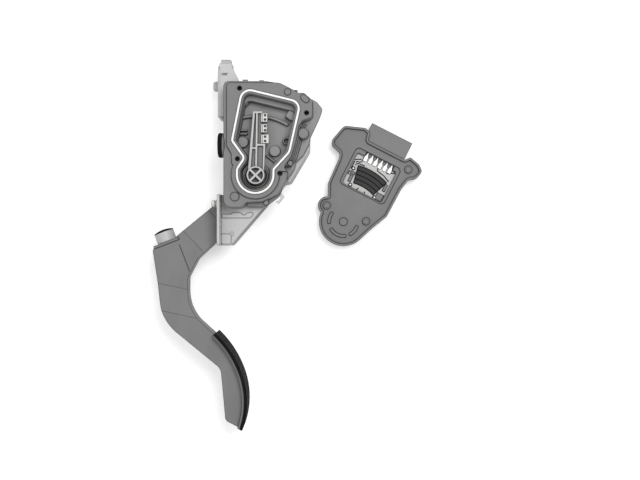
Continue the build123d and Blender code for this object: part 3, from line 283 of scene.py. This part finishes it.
GREY_MOULDING = smooth_moulding("grey_moulding", (0.46, 0.46, 0.46), (0.41, 0.41, 0.41))
WHITE_MOULDING = smooth_moulding("white_moulding", (0.62, 0.62, 0.60), (0.52, 0.52, 0.50))
CREAM_ACETAL = smooth_moulding("cream_acetal", (0.70, 0.67, 0.58), (0.64, 0.61, 0.53))
dress(GREY_MOULDING, "upper_locating_peg", "bump_stop_cup")
dress(WHITE_MOULDING, "lower_locating_peg", "harness_clip")
dress(CREAM_ACETAL, "front_bush", "rear_bush")


# Pedal pad, stop sleeve, wall buffer, shaft seal and the bump stop's plug: black moulded rubber.
# It has a dull skin, with a grey bloom in patches. Each piece is stretched or plugged into place.

RUBBER = (0.006, 0.006, 0.006)
RUBBER_BLOOM = (0.016, 0.016, 0.016)


def black_rubber():
    rubber = Finish("black_rubber")
    bloom = rubber.noise(5 * MM, detail=4.0).between(0.45, 0.8) * 0.5
    return rubber.coat(
        Base_Color=rubber.mixed(bloom, RUBBER, RUBBER_BLOOM),
        Roughness=0.72 + bloom * 0.2,
        Specular_IOR_Level=0.09,
        Normal=rubber.relief(rubber.noise(0.35 * MM), 0.03 * MM, rubber.rounded(0.5 * MM)),
    )


dress(black_rubber(), "stop_sleeve", "wall_buffer", "shaft_seal", "bump_stop_rubber", "pedal_pad")


# Return springs: a pair of hard-drawn wire, wound round the drum's hubs.
# The wire is bare, with faint drawing marks along it.

WIRE = (0.42, 0.42, 0.42)
WIRE_SHADE = (0.30, 0.30, 0.31)


def spring_wire():
    wire = Finish("spring_wire")
    drawn = wire.noise(0.3 * MM, stretch=(1.0, 1.0, 0.4))
    return wire.coat(
        Base_Color=wire.mixed(wire.noise(3 * MM, detail=3.0), WIRE_SHADE, WIRE),
        Metallic=1.0,
        Roughness=0.3 + drawn * 0.15,
        Normal=wire.relief(drawn, 0.01 * MM),
    )


dress(spring_wire(), "front_return_spring", "rear_return_spring")


# Sensor housing, its cover, the shaft and the pedal arm: glass-filled nylon, in dark grey.
# The moulds are spark-eroded, so the skin has a fine even grain, with duller flow marks in it.

bench = cad_low.z
SEAL_FACE = bench + 66 * MM
NYLON_DARK = (0.156, 0.156, 0.156)
NYLON_LIGHT = (0.182, 0.182, 0.182)
# Paler nylon, painted below a height as light.
PAINTED_LIGHT_NYLON = (0.255, 0.255, 0.255)
# Black painted as shade along creases and edges, and in inner corners.
NYLON_SHADE_BLACK = (0.030, 0.029, 0.028)


def glass_nylon(name, flow_stretch, lit_below=None, blunt=0.008):
    """Dark nylon, painted paler below a height, as light in its shaded cavity.
    Its creases, edges and inner corners are painted black as shade, in full from an edge as blunt as
    the last value."""
    nylon = Finish(name)
    flow = nylon.noise(14 * MM, detail=4.0, stretch=flow_stretch).between(0.3, 0.7)
    patches = 0.62 + nylon.noise(9 * MM) * 0.35
    # Painted shade: black lines along creases and edges, in patches, and darkening in inner corners.
    crease = nylon.edges(0.9 * MM).between(blunt / 8, blunt) * patches
    shade_mask = (nylon.corners(1.5 * MM) * 0.9 + crease).clipped()
    tone = nylon.mixed(flow, NYLON_DARK, NYLON_LIGHT)
    if lit_below is not None:
        # Painted light: paler below the given height.
        painted_light = 1.0 - nylon.axis(2).between(lit_below - 10 * MM, lit_below)
        tone = nylon.mixed(painted_light, tone, PAINTED_LIGHT_NYLON)
    grain = nylon.noise(0.45 * MM) + nylon.noise(1.6 * MM) * 0.5
    return nylon.coat(
        Base_Color=nylon.mixed(shade_mask, tone, NYLON_SHADE_BLACK),
        Roughness=0.55 + flow * 0.1 + shade_mask * 0.2,
        Specular_IOR_Level=0.4,
        Normal=nylon.relief(grain, 0.05 * MM, nylon.rounded(0.6 * MM)),
    )


HOUSING_NYLON = glass_nylon("housing_nylon", (1.0, 1.0, 1.0), lit_below=SEAL_FACE - 1 * MM)
COVER_NYLON = glass_nylon("cover_nylon", (1.0, 1.0, 1.0))
ARM_NYLON = glass_nylon("arm_nylon", (1.0, 3.0, 1.0), blunt=0.003)
dress(HOUSING_NYLON, "sensor_housing")
dress(COVER_NYLON, "sensor_cover", "pivot_shaft")
dress(ARM_NYLON, "pedal_arm")


# Cover screws: cold-headed steel, blacked with a dull zinc-flake coat.
# They are captive, and stay in the cover's bosses when it is taken off.

FLAKE_DARK = (0.12, 0.12, 0.12)
FLAKE_LIGHT = (0.20, 0.20, 0.20)


def flake_coat():
    flake = Finish("flake_coat")
    speck = flake.noise(0.4 * MM, detail=3.0)
    return flake.coat(
        Base_Color=flake.mixed(speck, FLAKE_DARK, FLAKE_LIGHT),
        Metallic=0.4,
        Roughness=0.5 + speck * 0.15,
        Normal=flake.relief(speck, 0.01 * MM, flake.rounded(0.2 * MM)),
    )


dress(flake_coat(), "cover_screws")


# Gasket: a white silicone cord, pressed into the housing's groove.
# Dust clings to its skin in patches. Both its sides, where it meets the groove, and its inner
# corners are painted dark as shade.

SEAL_WHITE = (0.88, 0.88, 0.87)


def silicone():
    seal = Finish("silicone")
    film = seal.noise(6 * MM, detail=4.0).between(0.4, 0.8) * 0.15
    # Painted shade along both sides and in inner corners; the patches of film are dust.
    sides = seal.edges(0.9 * MM).between(0.01, 0.10) * 0.95
    dust_and_shade = (film + sides + seal.corners(1.0 * MM) * 0.4).clipped()
    return seal.coat(
        Base_Color=seal.mixed(dust_and_shade, SEAL_WHITE, DUST_AND_SHADE),
        Roughness=0.42 + dust_and_shade * 0.3,
        Subsurface_Weight=0.1,
        Subsurface_Scale=1.0 * MM,
        Normal=seal.relief(seal.noise(0.6 * MM), 0.02 * MM, seal.rounded(0.9 * MM)),
    )


dress(silicone(), "housing_gasket")


# Rotor: one grey moulding on the end of the shaft, ribbed like a beam, with windows in it.
# Its pockets, below the rim's height, are painted dark as shade, and so are its inner corners and
# edges.

ROTOR_POCKET = bench + 56.6 * MM
ROTOR_RIM = bench + 58.6 * MM
ROTOR_DARK = (0.42, 0.42, 0.42)
ROTOR_LIGHT = (0.48, 0.48, 0.48)
# The dark painted as shade in the pockets, in corners and along edges.
ROTOR_SHADE_DARK = (0.06, 0.06, 0.06)


def rotor_moulding():
    rotor = Finish("rotor_moulding")
    flow = rotor.noise(6 * MM, detail=3.0, stretch=(1.0, 3.0, 1.0))
    # Painted shade: darker below the rim's height, in inner corners and along edges.
    pocket = 1.0 - rotor.axis(2).between(ROTOR_POCKET, ROTOR_RIM)
    rim = rotor.edges(0.65 * MM).between(0.01, 0.12) * 0.8
    rotor_shade = (pocket * 0.7 + rotor.corners(1.2 * MM) + rim).clipped()
    return rotor.coat(
        Base_Color=rotor.mixed(rotor_shade, rotor.mixed(flow, ROTOR_DARK, ROTOR_LIGHT), ROTOR_SHADE_DARK),
        Roughness=0.42 + rotor_shade * 0.25,
        Normal=rotor.relief(rotor.noise(0.5 * MM), 0.012 * MM, rotor.rounded(0.3 * MM)),
    )


dress(rotor_moulding(), "sensor_rotor")


# Wipers and connector pins: strip, rolled, stamped and plated, and coloured darker along its edges
# and bends.
# The wipers are staked to the rotor, and the pins are moulded into the connector.

STRIP = (0.44, 0.435, 0.42)
STRIP_SHADE = (0.35, 0.345, 0.335)
STRIP_EDGE_DARK = (0.05, 0.05, 0.05)


def plated_strip():
    strip = Finish("wiper_strip")
    rolled = strip.noise(0.4 * MM, stretch=(1.0, 12.0, 1.0))
    # Darker along its edges and bends.
    dark_edge = strip.edges(0.6 * MM).between(0.01, 0.12) * 0.8
    tone = strip.mixed(strip.noise(2 * MM, detail=3.0), STRIP_SHADE, STRIP)
    return strip.coat(
        Base_Color=strip.mixed(dark_edge, tone, STRIP_EDGE_DARK),
        Metallic=0.8,
        Roughness=0.38 + rolled * 0.1,
        Normal=strip.relief(rolled, 0.01 * MM, strip.rounded(0.15 * MM)),
    )


dress(plated_strip(), "outer_wiper", "middle_wiper", "inner_wiper", "connector_pins")


# Contact springs: bottle-shaped leaves of tinned strip, so matt and pale that they look white.
# They lead from the connector's pins to the edge of the board.

TIN_DARK = (0.88, 0.88, 0.88)
TIN_LIGHT = (0.95, 0.95, 0.94)
TIN_EDGE_DARK = (0.06, 0.06, 0.06)


def matt_tin():
    tin = Finish("matt_tin")
    cloud = tin.noise(1.5 * MM, detail=3.0)
    # Darker along its edges and bends.
    dark_edge = tin.edges(0.5 * MM).between(0.005, 0.05) * 0.95
    return tin.coat(
        Base_Color=tin.mixed(dark_edge, tin.mixed(cloud, TIN_DARK, TIN_LIGHT), TIN_EDGE_DARK),
        Metallic=0.15,
        Roughness=0.42 + cloud * 0.12,
        Normal=tin.relief(cloud, 0.01 * MM, tin.rounded(0.15 * MM)),
    )


MATT_TIN = matt_tin()
dress(MATT_TIN, "contact_springs")


# Wiper contacts: two turned buttons in each wiper, black with carbon from the tracks.
# They are riveted into the plate, and slide along the tracks when the cover is on.

pivot = Vector(frame["joints"][0]["pos_m"])
WIPER_TOP = bench + 59.5 * MM
WIPER_CONTACTS = [(8.5, along) for along in (54.0, 50.1, 44.2, 40.5, 34.7, 30.8)]
CONTACT_BUTTON = [(1.25, -0.05), (1.25, 0.18), (1.12, 0.30), (0.90, 0.34), (0.72, 0.62),
                  (0.40, 0.80)]
LOBES = 6


class Growth(Tree):
    """A Geometry Nodes tree that makes a piece from a few points or paths."""

    def __init__(self, name, **sizes):
        self.tree = bpy.data.node_groups.new(name, "GeometryNodeTree")
        for way in ("INPUT", "OUTPUT"):
            self.tree.interface.new_socket("Geometry", in_out=way, socket_type="NodeSocketGeometry")
        self.values = {}
        for label, value in sizes.items():
            is_object = isinstance(value, bpy.types.Object)
            kind = "NodeSocketObject" if is_object else "NodeSocketFloat"
            socket = self.tree.interface.new_socket(label, in_out="INPUT", socket_type=kind)
            self.values[socket.identifier] = value
        self.given = self.tree.nodes.new("NodeGroupInput").outputs

    def piece(self, name, shape, points, edges, finish):
        """The plain mesh that the tree makes of the points and edges, as an object."""
        real = self.add("GeometryNodeRealizeInstances", None, {0: shape})
        sockets = {"Geometry": real.outputs[0], "Material": finish}
        coated = self.add("GeometryNodeSetMaterial", None, sockets)
        self.add("NodeGroupOutput", None, {0: coated.outputs[0]})
        seed = placed(name + "_seed", mesh_of(name + "_seed", points, edges, []))
        growth = seed.modifiers.new("growth", "NODES")
        growth.node_group = self.tree
        for identifier, value in self.values.items():
            growth[identifier] = value
        graph = bpy.context.evaluated_depsgraph_get()
        grown = bpy.data.meshes.new_from_object(seed.evaluated_get(graph), depsgraph=graph)
        seed.modifiers.remove(growth)
        bpy.data.objects.remove(seed)
        grown.name = name
        return placed(name, grown)


def mesh_of(name, points, edges, faces):
    mesh = bpy.data.meshes.new(name)
    mesh.from_pydata([tuple(point) for point in points], edges, faces)
    mesh.update()
    return mesh


def placed(name, data):
    """An object in the scene, at the origin."""
    thing = bpy.data.objects.new(name, data)
    bpy.context.scene.collection.objects.link(thing)
    return thing


def spot(centre, x, y, height):
    """A place counted in millimetres from an upright axis, at a height in metres."""
    return Vector((centre.x + x * MM, centre.y + y * MM, height))


def turned(name, profile, sides=24):
    """A closed mesh of revolution about Z. The profile goes from the foot to the top, in
    millimetres: each ring has a radius, a height and, where it is lobed, its lobes' depth."""
    points, faces = [], []
    for radius, height, *lobed in profile:
        for index in range(sides):
            angle = 2 * math.pi * index / sides
            depth = lobed[0] if lobed else 0.0
            reach = radius * (1.0 + depth * math.cos(LOBES * angle))
            points.append((reach * math.cos(angle) * MM, reach * math.sin(angle) * MM, height * MM))
    for ring in range(len(profile) - 1):
        for index in range(sides):
            after = (index + 1) % sides
            low, high = ring * sides, (ring + 1) * sides
            faces.append((low + index, low + after, high + after, high + index))
    faces.append(tuple(reversed(range(sides))))
    faces.append(tuple(range(len(points) - sides, len(points))))
    return placed(name, mesh_of(name, points, [], faces))


def studded(name, pattern, places, finish):
    """A copy of the pattern at each place. The pattern itself goes."""
    pattern.data.materials.append(finish)
    growth = Growth(name, Pattern=pattern, Scale=1.0)
    whole = {"Object": growth.given["Pattern"]}
    source = growth.add("GeometryNodeObjectInfo", {"transform_space": "ORIGINAL"}, whole)
    points = growth.add("GeometryNodeMeshToPoints", None, {"Mesh": growth.given["Geometry"]})
    copies = growth.add("GeometryNodeInstanceOnPoints", None, {
        "Points": points.outputs[0],
        "Instance": source.outputs["Geometry"],
        "Scale": growth.given["Scale"],
    })
    piece = growth.piece(name, copies.outputs[0], places, [], finish)
    bpy.data.objects.remove(pattern)
    return piece


def button_metal():
    button = Finish("button_metal")
    worn = button.noise(0.8 * MM, detail=3.0)
    return button.coat(
        Base_Color=button.mixed(worn, (0.05, 0.05, 0.05), (0.13, 0.125, 0.12)),
        Metallic=0.6,
        Roughness=0.38 + worn * 0.2,
        Normal=button.relief(worn, 0.01 * MM),
    )


contact_button = turned("contact_button", CONTACT_BUTTON)
places = [spot(pivot, x, y, WIPER_TOP) for x, y in WIPER_CONTACTS]
wiper_contacts = studded("wiper_contacts", contact_button, places, button_metal())
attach(wiper_contacts, "pedal")


# Housing screws: pan heads with six-lobed sockets, cold-headed and zinc-plated.
# They go through the bracket's web into the housing, where their threads are out of sight.

HOUSING_SCREWS = [(-12.2, 30.6), (16.9, 22.5), (43.0, 37.6)]
SCREW_HEAD_LOW = bench + 37.9 * MM
PAN_HEAD_SCREW = [(1.15, 1.5, 0.14), (1.40, 0.2, 0.14), (1.55, 0.02, 0.10), (2.9, 0.0),
                  (3.6, 0.25), (3.92, 0.8), (4.0, 1.5), (4.0, 2.6), (2.0, 2.6), (2.0, 12.4),
                  (1.5, 13.1)]

pan_head_screw = turned("pan_head_screw", PAN_HEAD_SCREW, sides=48)
places = [spot(pivot, x, y, SCREW_HEAD_LOW) for x, y in HOUSING_SCREWS]
pan_head_screws = studded("pan_head_screws", pan_head_screw, places, ZINC_PLATE)
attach(pan_head_screws, "bracket")
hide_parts("housing_screws")


# Housing posts: two round posts on the housing's stepped side, with rounded ends.
# They are moulded in one with it, and the mould's ejector pins push on them.

HOUSING_POSTS = [
    ("shelf_post", (31.2, 10.7), 54.0, [(2.35, 0.0), (2.35, 9.0), (2.1, 9.3)]),
    ("clip_post", (43.0, 37.4), 52.2, [(4.8, 0.0), (4.8, 10.4), (4.5, 10.75)]),
]

for name, (x, y), foot, profile in HOUSING_POSTS:
    pattern = turned(name + "_pattern", profile, sides=32)
    post = studded(name, pattern, [spot(pivot, x, y, bench + foot * MM)], HOUSING_NYLON)
    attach(post, "bracket")


# Circuit board: a light ceramic plate, bonded into the cover's window.
# The resistor bands are printed on it round the cover's pivot and fired, and the chips soldered.

COVER_PIVOT = spot(pivot, 80, -41, 0.0)
CERAMIC = (0.48, 0.48, 0.475)
CERAMIC_SHADE = (0.42, 0.42, 0.415)
BOARD_CORNER_SHADE = (0.03, 0.03, 0.03)
FILM_DARK = (0.032, 0.032, 0.032)
FILM_LIGHT = (0.052, 0.052, 0.052)
FILM_RING = 0.5 * MM


def ceramic():
    plate = Finish("ceramic")
    grain = plate.noise(0.25 * MM)
    tone = plate.mixed(plate.noise(3 * MM, detail=3.0), CERAMIC_SHADE, CERAMIC)
    return plate.coat(
        # Painted shade: darker in inner corners, round the parts on the board.
        Base_Color=plate.mixed(plate.corners(1.4 * MM) * 0.9, tone, BOARD_CORNER_SHADE),
        Roughness=0.45 + grain * 0.1,
        Normal=plate.relief(grain, 0.01 * MM),
    )


def carbon_film():
    film = Finish("carbon_film")
    rings = (film.around(COVER_PIVOT) * (2 * math.pi / FILM_RING)).sine() * 0.5 + 0.5
    return film.coat(
        Base_Color=film.mixed(rings * 0.5, FILM_DARK, FILM_LIGHT),
        Roughness=0.6 - rings * 0.12,
        Specular_IOR_Level=0.12,
        Normal=film.relief(rings, 0.01 * MM),
    )


CHIP_CASE = smooth_moulding("chip_case", (0.15, 0.15, 0.15), (0.12, 0.12, 0.12))
dress(ceramic(), "sensor_board")
dress(carbon_film(), "resistor_tracks")
dress(CHIP_CASE, "board_components")


# Board print: the black overglaze that frames the bands and the conductors between the parts.
# It is screened on as a paste and fired, so it stands a little above the ceramic.
# Places on the board are a distance from the cover's pivot and an angle, or millimetres from it.

BOARD_FACE = bench + 7.4 * MM
BAND_START, BAND_END = 42.0, 75.0
BAND_EDGES = [38.15, 42.4, 46.65, 50.9, 55.15]
BAND_OVERLAP = 0.2
LONG_SIDE, CROSS_SIDE = 152.9, 63.0
CHIPS = [
    (50.7, 39.0, 6.4, 2.0, CROSS_SIDE),
    (41.1, 34.5, 6.0, 6.0, LONG_SIDE),
    (41.85, 80.7, 6.0, 2.2, CROSS_SIDE),
    (47.4, 79.0, 3.6, 2.0, LONG_SIDE),
]
CHIP_MARGIN = 0.25
SOLDER = [(51.7, 79.3), (35.8, 79.5), (37.3, 38.2)]
SOLDER_PAD = 1.5
CONDUCTORS = [
    [(19.4, 61.2), (18.6, 58.8), (17.6, 57.0), (15.6, 56.6), (13.6, 57.2), (12.0, 56.7)],
    [(20.5, 52.9), (17.8, 54.1), (14.8, 55.2), (12.6, 55.2), (11.6, 53.6)],
    [(17.4, 59.3), (14.0, 59.3), (11.0, 59.0)],
    [(11.0, 57.7), (9.5, 54.8), (7.3, 50.6)],
    [(6.7, 48.8), (4.3, 46.3), (6.3, 44.8)],
    [(32.9, 50.9), (32.3, 48.3), (34.8, 46.4), (38.5, 43.5), (43.1, 37.9)],
    [(45.1, 49.6), (48.0, 47.6), (48.4, 45.2)],
    [(40.5, 46.6), (43.6, 45.2), (45.4, 46.2), (47.6, 45.4)],
    [(12.6, 30.5), (14.5, 32.1)],
    [(20.0, 27.1), (20.2, 28.7)],
]


def on_board(radius, degrees):
    """A place on the board round the cover's pivot, in millimetres."""
    return radius * math.cos(math.radians(degrees)), radius * math.sin(math.radians(degrees))


def arc(radius, start, end, steps=16):
    return [on_board(radius, start + (end - start) * step / steps) for step in range(steps + 1)]


def chip_foot(radius, degrees, long, wide, turn):
    """The outline round a chip, closed: a black ring painted as its shadow at its foot."""
    x, y = on_board(radius, degrees)
    along = Vector(on_board(long / 2 + CHIP_MARGIN, turn))
    across = Vector(on_board(wide / 2 + CHIP_MARGIN, turn + 90))
    corners = [along + across, across - along, -along - across, along - across, along + across]
    return [(x + corner.x, y + corner.y) for corner in corners]


def solder_pad(radius, degrees):
    """The outline of a solder pad, closed: a black ring painted as shade round the solder dome's
    foot.
    """
    x, y = on_board(radius, degrees)
    ring = [(x + dx, y + dy) for dx, dy in arc(SOLDER_PAD, 0, 360, steps=20)[:-1]]
    return ring + ring[:1]


def swept(name, centre, paths, middle, finish, **section):
    """A low bar of the given Width and Height along each level path, its middle at a height."""
    points, edges = [], []
    for path in paths:
        closed = path[0] == path[-1]
        first = len(points)
        points += [spot(centre, x, y, middle) for x, y in (path[:-1] if closed else path)]
        edges += [(index, index + 1) for index in range(first, len(points) - 1)]
        edges += [(len(points) - 1, first)] if closed else []
    growth = Growth(name, **section)
    curve = growth.add("GeometryNodeMeshToCurve", None, {0: growth.given["Geometry"]})
    level = growth.add("GeometryNodeSetCurveNormal", {"mode": "Z_UP"}, {0: curve.outputs[0]})
    sizes = {"Width": growth.given["Width"], "Height": growth.given["Height"]}
    bar = growth.add("GeometryNodeCurvePrimitiveQuadrilateral", None, sizes)
    sockets = {"Curve": level.outputs[0], "Profile Curve": bar.outputs[0], "Fill Caps": True}
    solid = growth.add("GeometryNodeCurveToMesh", None, sockets)
    return growth.piece(name, solid.outputs[0], points, edges, finish)


def overglaze():
    glaze = Finish("overglaze")
    grain = glaze.noise(0.3 * MM)
    return glaze.coat(
        Base_Color=glaze.mixed(grain, (0.002, 0.002, 0.002), (0.006, 0.006, 0.006)),
        Roughness=0.6 + grain * 0.15,
        Specular_IOR_Level=0.08,
        Normal=glaze.relief(grain, 0.01 * MM),
    )


OVERGLAZE = overglaze()
band_frame = [arc(radius, BAND_START, BAND_END) for radius in BAND_EDGES]
for end in (BAND_START, BAND_END):
    inner = on_board(BAND_EDGES[0] - BAND_OVERLAP, end)
    outer = on_board(BAND_EDGES[-1] + BAND_OVERLAP, end)
    band_frame.append([inner, outer])
frame_glaze = swept("frame_glaze", COVER_PIVOT, band_frame, BOARD_FACE + 0.25 * MM, OVERGLAZE,
                    Width=0.85 * MM, Height=0.62 * MM)

# The black rings round the chips and solder pads are painted shadow at their feet.
lines = CONDUCTORS + [chip_foot(*chip) for chip in CHIPS] + [solder_pad(*dot) for dot in SOLDER]
conductors = swept("conductors", COVER_PIVOT, lines, BOARD_FACE + 0.1 * MM, OVERGLAZE,
                   Width=0.85 * MM, Height=0.3 * MM)
for glaze in (frame_glaze, conductors):
    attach(glaze, "bracket")


# Solder domes: three drops of tinned solder on round pads of the board's print.
# Surface tension rounds them off before they set.

SOLDER_FOOT = BOARD_FACE + 0.9 * MM
SOLDER_DOME = [(1.0, -0.1), (0.98, 0.12), (0.80, 0.34), (0.50, 0.50), (0.20, 0.56)]

solder_dome = turned("solder_dome", SOLDER_DOME)
places = [spot(COVER_PIVOT, *on_board(radius, degrees), SOLDER_FOOT) for radius, degrees in SOLDER]
solder_domes = studded("solder_domes", solder_dome, places, MATT_TIN)
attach(solder_domes, "bracket")


# Knee bead: a narrow raised line across the arm's flank, where the mould's two slides meet.
# It is of the arm's own nylon, moulded in one with it.

KNEE_FLANK = bench + 38.5 * MM
KNEE_BEAD = [(-71.6, -62.4), (-66.8, -74.6), (-62.1, -87.2)]

knee_bead = swept("knee_bead", pivot, [KNEE_BEAD], KNEE_FLANK, ARM_NYLON,
                  Width=0.7 * MM, Height=0.4 * MM)
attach(knee_bead, "pedal")


# Bench, lamps and camera: a pale bench in a pale room, under two soft boxes.
# The camera looks straight down from a metre above it.

CAMERA_HEIGHT = 1000 * MM
CAMERA_FROM_PIVOT = (57.9, -58.3)
SENSOR_WIDTH = 36.0
LENS = 58.8
BENCH_SIDE = 6.0
BENCH_GAP = 0.02 * MM
BENCH_GLOW = (0.34, 0.34, 0.34)
ROOM_LIGHT = 0.58


def bench_top():
    top = Finish("bench_top")
    seen = top.add("ShaderNodeLightPath")
    shown = Reading(top, seen.outputs["Is Camera Ray"]) + Reading(top, seen.outputs["Is Glossy Ray"])
    return top.coat(
        Base_Color=top.mixed(top.noise(40 * MM, detail=3.0), (0.84, 0.84, 0.84), (0.86, 0.86, 0.86)),
        Roughness=0.7,
        Specular_IOR_Level=0.2,
        Emission_Color=top.mixed(shown.clipped(), (0.0, 0.0, 0.0), BENCH_GLOW),
        Emission_Strength=1.0,
    )


def soft_box(name, place, size, power):
    """A square lamp aimed at the middle of the object."""
    light = bpy.data.lights.new(name, "AREA")
    light.shape = "SQUARE"
    light.size = size
    light.energy = power
    lamp = placed(name, light)
    lamp.location = (cad_low + cad_high) / 2 + Vector(place)
    lamp.rotation_mode = "QUATERNION"
    lamp.rotation_quaternion = (-Vector(place)).to_track_quat("-Z", "Y")


class Room(Tree):
    """A plain pale room, which the camera itself sees as white."""

    def __init__(self, name, strength):
        self.world = bpy.data.worlds.new(name)
        self.world.use_nodes = True
        self.tree = self.world.node_tree
        self.tree.nodes.clear()
        white = (1.0, 1.0, 1.0)
        glow = self.add("ShaderNodeBackground", None, {"Color": white, "Strength": strength})
        seen = self.add("ShaderNodeBackground", None, {"Color": white, "Strength": 1.0})
        path = self.add("ShaderNodeLightPath")
        both = {0: path.outputs["Is Camera Ray"], 1: glow.outputs[0], 2: seen.outputs[0]}
        mix = self.add("ShaderNodeMixShader", None, both)
        self.add("ShaderNodeOutputWorld", None, {"Surface": mix.outputs[0]})


half = BENCH_SIDE / 2
level = bench - BENCH_GAP
corners = [(x, y, level) for x, y in ((-half, -half), (half, -half), (half, half), (-half, half))]
floor = placed("bench", mesh_of("bench", corners, [], [(0, 1, 2, 3)]))
floor.data.materials.append(bench_top())

soft_box("key_box", place=(0.32, 0.42, 1.3), size=0.55, power=10.5)
soft_box("fill_box", place=(-0.7, -0.3, 1.3), size=1.2, power=4.5)
bpy.context.scene.world = Room("studio", ROOM_LIGHT).world

camera = placed("camera", bpy.data.cameras.new("camera"))
camera.data.lens = LENS
camera.data.sensor_width = SENSOR_WIDTH
camera.location = spot(pivot, *CAMERA_FROM_PIVOT, bench + CAMERA_HEIGHT)
bpy.context.scene.camera = camera
bpy.context.scene.view_settings.view_transform = "Standard"
